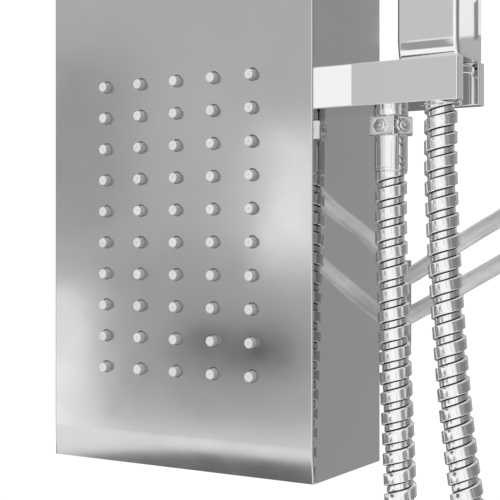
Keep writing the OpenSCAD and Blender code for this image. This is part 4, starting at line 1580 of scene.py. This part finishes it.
@dataclass
class Controls(Assembly):
    """Cover plates, mixer hub and lever, and the diverter knob."""

    mixer: float = -170.0
    diverter: float = -40.0
    arm: float = 500.0
    face: float = -138.0
    wall: float = 2.0
    arm_hole: float = 13.1
    pin_y: float = -158.6

    def build(self) -> None:
        """Builds every visible control piece."""
        self.cover("mixer", self.mixer, 35.0, 21.1)
        self.cover("diverter", self.diverter, 35.0, 17.1)
        self.cover("arm", self.arm, 30.0, None)
        self.hub()
        self.lever()
        self.knob()

    def cover(self, name: str, height: float, half: float, neck: float | None) -> None:
        """Presses one square cover plate.

        Args:
            name: what it covers.
            height: its middle's height in millimetres.
            half: half its side.
            neck: radius of its round hole, or None for the arm's square hole.
        """
        inside, side = half - self.wall, self.arm_hole
        plate = brick(f"{name}_cover_plate", (-half, self.face, height - half), (half, -130, height + half))
        hollow = brick("hollow", (-inside, self.face + self.wall, height - inside),
                       (inside, -120, height + inside))
        if neck is None:
            hole = brick("hole", (-side, -150, height - side), (side, -120, height + side))
        else:
            hole = rod("hole", Axis.Y, (0, 0, height * MM), neck * MM, -150 * MM, -120 * MM, 64)
        cut(plate, [hollow, hole])
        bevel(plate, 0.8 * MM, 4, 50.0)
        self.hand_over(polish(plate), Finishes.CHROME, "column", "chrome", f"{name}_cover")

    def hub(self) -> None:
        """Turns the mixer hub and cuts the lever's slot and pin hole."""
        profile = ((0, -168.6), (20.6, -168.6), (21.6, -168.2), (22, -167.2), (22, -146), (21.5, -145.5),
                   (21.5, -144.5), (22, -144), (22, -139.4), (21.4, -138.6), (5, -138.6), (5, -118.8),
                   (0, -118.8))
        mixer = self.mixer
        hub = lathe("mixer_hub_barrel", profile, (0, 0, mixer * MM), Axis.Y, 96)
        slot = brick("slot", (-4.3, -175, mixer - 14), (4.3, -146.6, mixer + 11))
        pin = rod("pin", Axis.X, (0, self.pin_y * MM, mixer * MM), 2 * MM, -30 * MM, 30 * MM, 24)
        cut(hub, [slot, pin])
        self.hand_over(polish(hub, 25.0), Finishes.CHROME, "mixer_hub", "chrome", "mixer_hub")

    def lever(self) -> None:
        """Shapes the flat lever with its pivot tongue."""
        mixer = self.mixer
        blade = brick("mixer_lever_blade", (-8, -180.1, mixer - 95), (8, -172.1, mixer + 2))
        bevel(blade, 1.2 * MM, 4)
        eye = rod("eye", Axis.X, (0, self.pin_y * MM, mixer * MM), 9 * MM, -4 * MM, 4 * MM)
        neck = brick("neck", (-4, -173.1, mixer - 9), (4, self.pin_y, mixer + 2))
        for part in (eye, neck):
            bevel(part, 0.4 * MM, 2)
        lever = polish(join([blade, eye, neck], "mixer_lever_blade"), 30.0)
        self.hand_over(lever, Finishes.CHROME, "mixer_lever", "chrome", "mixer_lever")

    def knob(self) -> None:
        """Turns the diverter knob with fine grip grooves and a pointer bar."""
        profile = [(0, -164.6), (17.4, -164.6), (18.5, -164.1), (19, -163.0)]
        for groove in range(5):
            low = -160.5 + groove * 3.2
            profile += [(19, low), (18.5, low + 0.4), (18.5, low + 0.9), (19, low + 1.3)]
        profile += [(19, -139.3), (18.4, -138.6), (5, -138.6), (5, -118.8), (0, -118.8)]
        knob = lathe("diverter_knob_barrel", profile, (0, 0, self.diverter * MM), Axis.Y, 96)
        bar = brick("bar", (-3, -167.6, self.diverter + 7), (3, -163.6, self.diverter + 18))
        bevel(bar, 0.8 * MM, 3)
        knob = polish(join([knob, bar], "diverter_knob_barrel"), 25.0)
        self.hand_over(knob, Finishes.CHROME, "diverter_knob", "chrome", "diverter_knob")


# -------------------------------------------------------------- rain head


@dataclass
class RainHead(Assembly):
    """The square rain arm, its ball joint and the square head."""

    arm_half: float = 13.0
    arm_tip: float = -477.0
    arm_root: float = -134.0
    arm_z: float = 500.0
    centre_y: float = -460.0
    ball_z: float = 459.0
    half: float = 110.0
    under: float = 433.0
    thick: float = 10.0
    pitch: float = 23.25

    def build(self) -> None:
        """Builds the arm, the ball joint and the head."""
        self.arm()
        self.joint()
        self.head()

    def arm(self) -> None:
        """Shapes the square arm with its bore and the stem's hole."""
        half, z = self.arm_half, self.arm_z
        arm = brick("rain_arm_bar", (-half, self.arm_tip, z - half), (half, self.arm_root, z + half))
        bore = rod("bore", Axis.Y, (0, 0, z * MM), 10.05 * MM, -146 * MM, -100 * MM)
        stem = rod("stem", Axis.Z, (0, self.centre_y * MM, 0), 8 * MM, 480 * MM, 492 * MM)
        cut(arm, [bore, stem])
        bevel(arm, 1.0 * MM, 4, 60.0)
        self.hand_over(polish(arm), Finishes.CHROME, "column", "chrome", "rain_arm")

    def arc(self, radius: float, start: float, end: float, count: int) -> list[tuple[float, float]]:
        """Draws an arc of a profile about the ball's centre.

        Args:
            radius: its radius in millimetres.
            start: where it starts, in degrees up from level.
            end: where it ends.
            count: number of points.

        Returns:
            (radius, height) pairs.
        """
        angles = np.radians(np.linspace(start, end, count))
        return [(radius * math.cos(a), radius * math.sin(a)) for a in angles]

    def joint(self) -> None:
        """Turns the ball stem, its seat and the socket."""
        place = (0, self.centre_y * MM, self.ball_z * MM)
        ball = [(10 * math.sin(a), -10 * math.cos(a)) for a in np.radians(np.linspace(20.5, 137.0, 22))]
        stem = lathe("ball_stem_turning",
                     [(3.5, -9.3), *ball, (7, 7.4), (7, 21), (11.4, 20.2), (12, 20.8), (12, 27.4), (11.6, 28),
                      (8, 28), (8, 33), (3.5, 33), (3.5, -9.3)], place)
        inner, outer = self.arc(10.05, -29.8, 23.4, 10), self.arc(11.3, 20.7, -26.2, 10)
        seat = lathe("ball_seat_ring", inner + outer + inner[:1], place)
        socket = lathe("head_socket_cup",
                       [(9.4, 7.5), *self.arc(11.4, 34.4, -64.0, 18), (5, -16), (16.2, -16), (17, -15.2),
                        (17, -2), (16.6, -1.6), (16.6, -0.6), (17, -0.2), (17, 6.7), (16.2, 7.5),
                        (9.4, 7.5)], place)
        self.hand_over(stem, Finishes.CHROME, "column", "chrome", "ball_stem")
        self.hand_over(seat, Finishes.WHITE_PLASTIC, "ball_seat", "white_plastic", "ball_seat")
        self.hand_over(socket, Finishes.CHROME, "rain_head", "chrome", "head_socket")

    def slab(self, name: str, half: float, low: float, high: float, corner: float,
             edge: float = 0.0) -> Piece:
        """Shapes a square slab with rounded corners.

        Args:
            name: its name.
            half: half its side in millimetres.
            low: its lower face's height above the head's underside.
            high: its upper face's height above the same.
            corner: its corners' radius.
            edge: its edges' rounding.

        Returns:
            The slab.
        """
        y, under = self.centre_y, self.under
        slab = brick(name, (-half, y - half, under + low), (half, y + half, under + high))
        round_uprights(slab, corner * MM, 8)
        return bevel(slab, edge * MM, 3, 50.0) if edge else slab

    def head(self) -> None:
        """Builds the shell, the face plate and the nozzle mat."""
        shell = self.slab("rain_head_shell", self.half, 0, self.thick, 8, 1.2)
        water = rod("water", Axis.Z, (0, self.centre_y * MM, 0), 5 * MM, 430 * MM, 450 * MM, 32)
        recess = self.slab("recess", 106.5, -2, 2.1, 6)
        hollow = self.slab("hollow", 103.5, -2, self.thick - 1, 4)
        cut(shell, [recess, hollow, water])
        spots = [(i * self.pitch * MM, (self.centre_y + j * self.pitch) * MM, 0)
                 for i in range(-4, 5) for j in range(-4, 5)]
        plate = self.slab("rain_face_plate", 106.4, 0, 2, 6, 0.3)
        cut(plate, [join([rod("hole", Axis.Z, spot, 2 * MM, 430 * MM, 440 * MM, 20) for spot in spots],
                         "face_holes")])
        profile = ((0.0, 1.0), (0.4, 1.0), (0.45, -1.95), (0.55, -2.0), (1.2, -2.0), (1.4, -1.8), (1.8, 2.0))
        nozzle = smooth(turn("nozzle", [(r, self.under + h) for r, h in profile], steps=16), 50.0)
        mat = self.slab("rain_nozzle_mat", 103.4, 2, 3.5, 4)
        mat = join([mat, repeat(nozzle, spots, "nozzles")], "rain_nozzle_mat")
        self.hand_over(polish(shell), Finishes.CHROME, "rain_head", "chrome", "head_shell")
        self.hand_over(polish(plate), Finishes.POLISHED_SHEET, "rain_head", "polished_steel", "head_plate")
        self.hand_over(mat, Finishes.SILICONE, "rain_head", "silicone", "head_mat")


# ---------------------------------------------------- carried-over pieces


@dataclass
class Fittings(Assembly):
    """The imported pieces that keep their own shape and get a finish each."""

    GROUPS = (
        (Finishes.POLISHED_SHEET, ("top_cap", "bottom_cap")),
        (Finishes.ZINC, ("bracket_upper", "bracket_lower", "bracket_nuts", "bracket_screws", "cap_screws",
                         "chamber_studs", "chamber_nuts", "lever_pin", "hose_clip")),
        (Finishes.BRASS, ("mixer_body", "mixer_ring", "diverter_body", "diverter_ring", "link_tube",
                          "jet_feed_tube", "hand_feed_tube", "riser_tube", "tube_nuts", "holder_spigot",
                          "holder_back_nut", "arm_elbow", "arm_ring", "hand_spigot")),
        (Finishes.BLACK_PLASTIC, ("jet_chamber",)),
        (Finishes.WHITE_PLASTIC, ("mixer_cartridge", "diverter_cartridge", "check_valves")),
        (Finishes.GASKET_AND_GROOVE_SHADE, ("holder_gasket",)),
    )

    def build(self) -> None:
        """Gives each carried-over piece its finish."""
        for finish, names in self.GROUPS:
            for name in names:
                self.finishes.dress(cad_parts[name], finish)
                log.info("%s: dressed in %s", name, finish.name)


def main() -> None:
    """Builds the studio and the whole column."""
    logging.basicConfig(level=logging.INFO, format="%(name)s: %(message)s")
    finishes = Finishes()
    Studio().build()
    for part in (Hoses, Casing, JetField, Holder, HandShower, HoseOutlet, Controls, RainHead, Fittings):
        part(finishes).build()
    deselect()


if __name__ == "__main__":
    main()
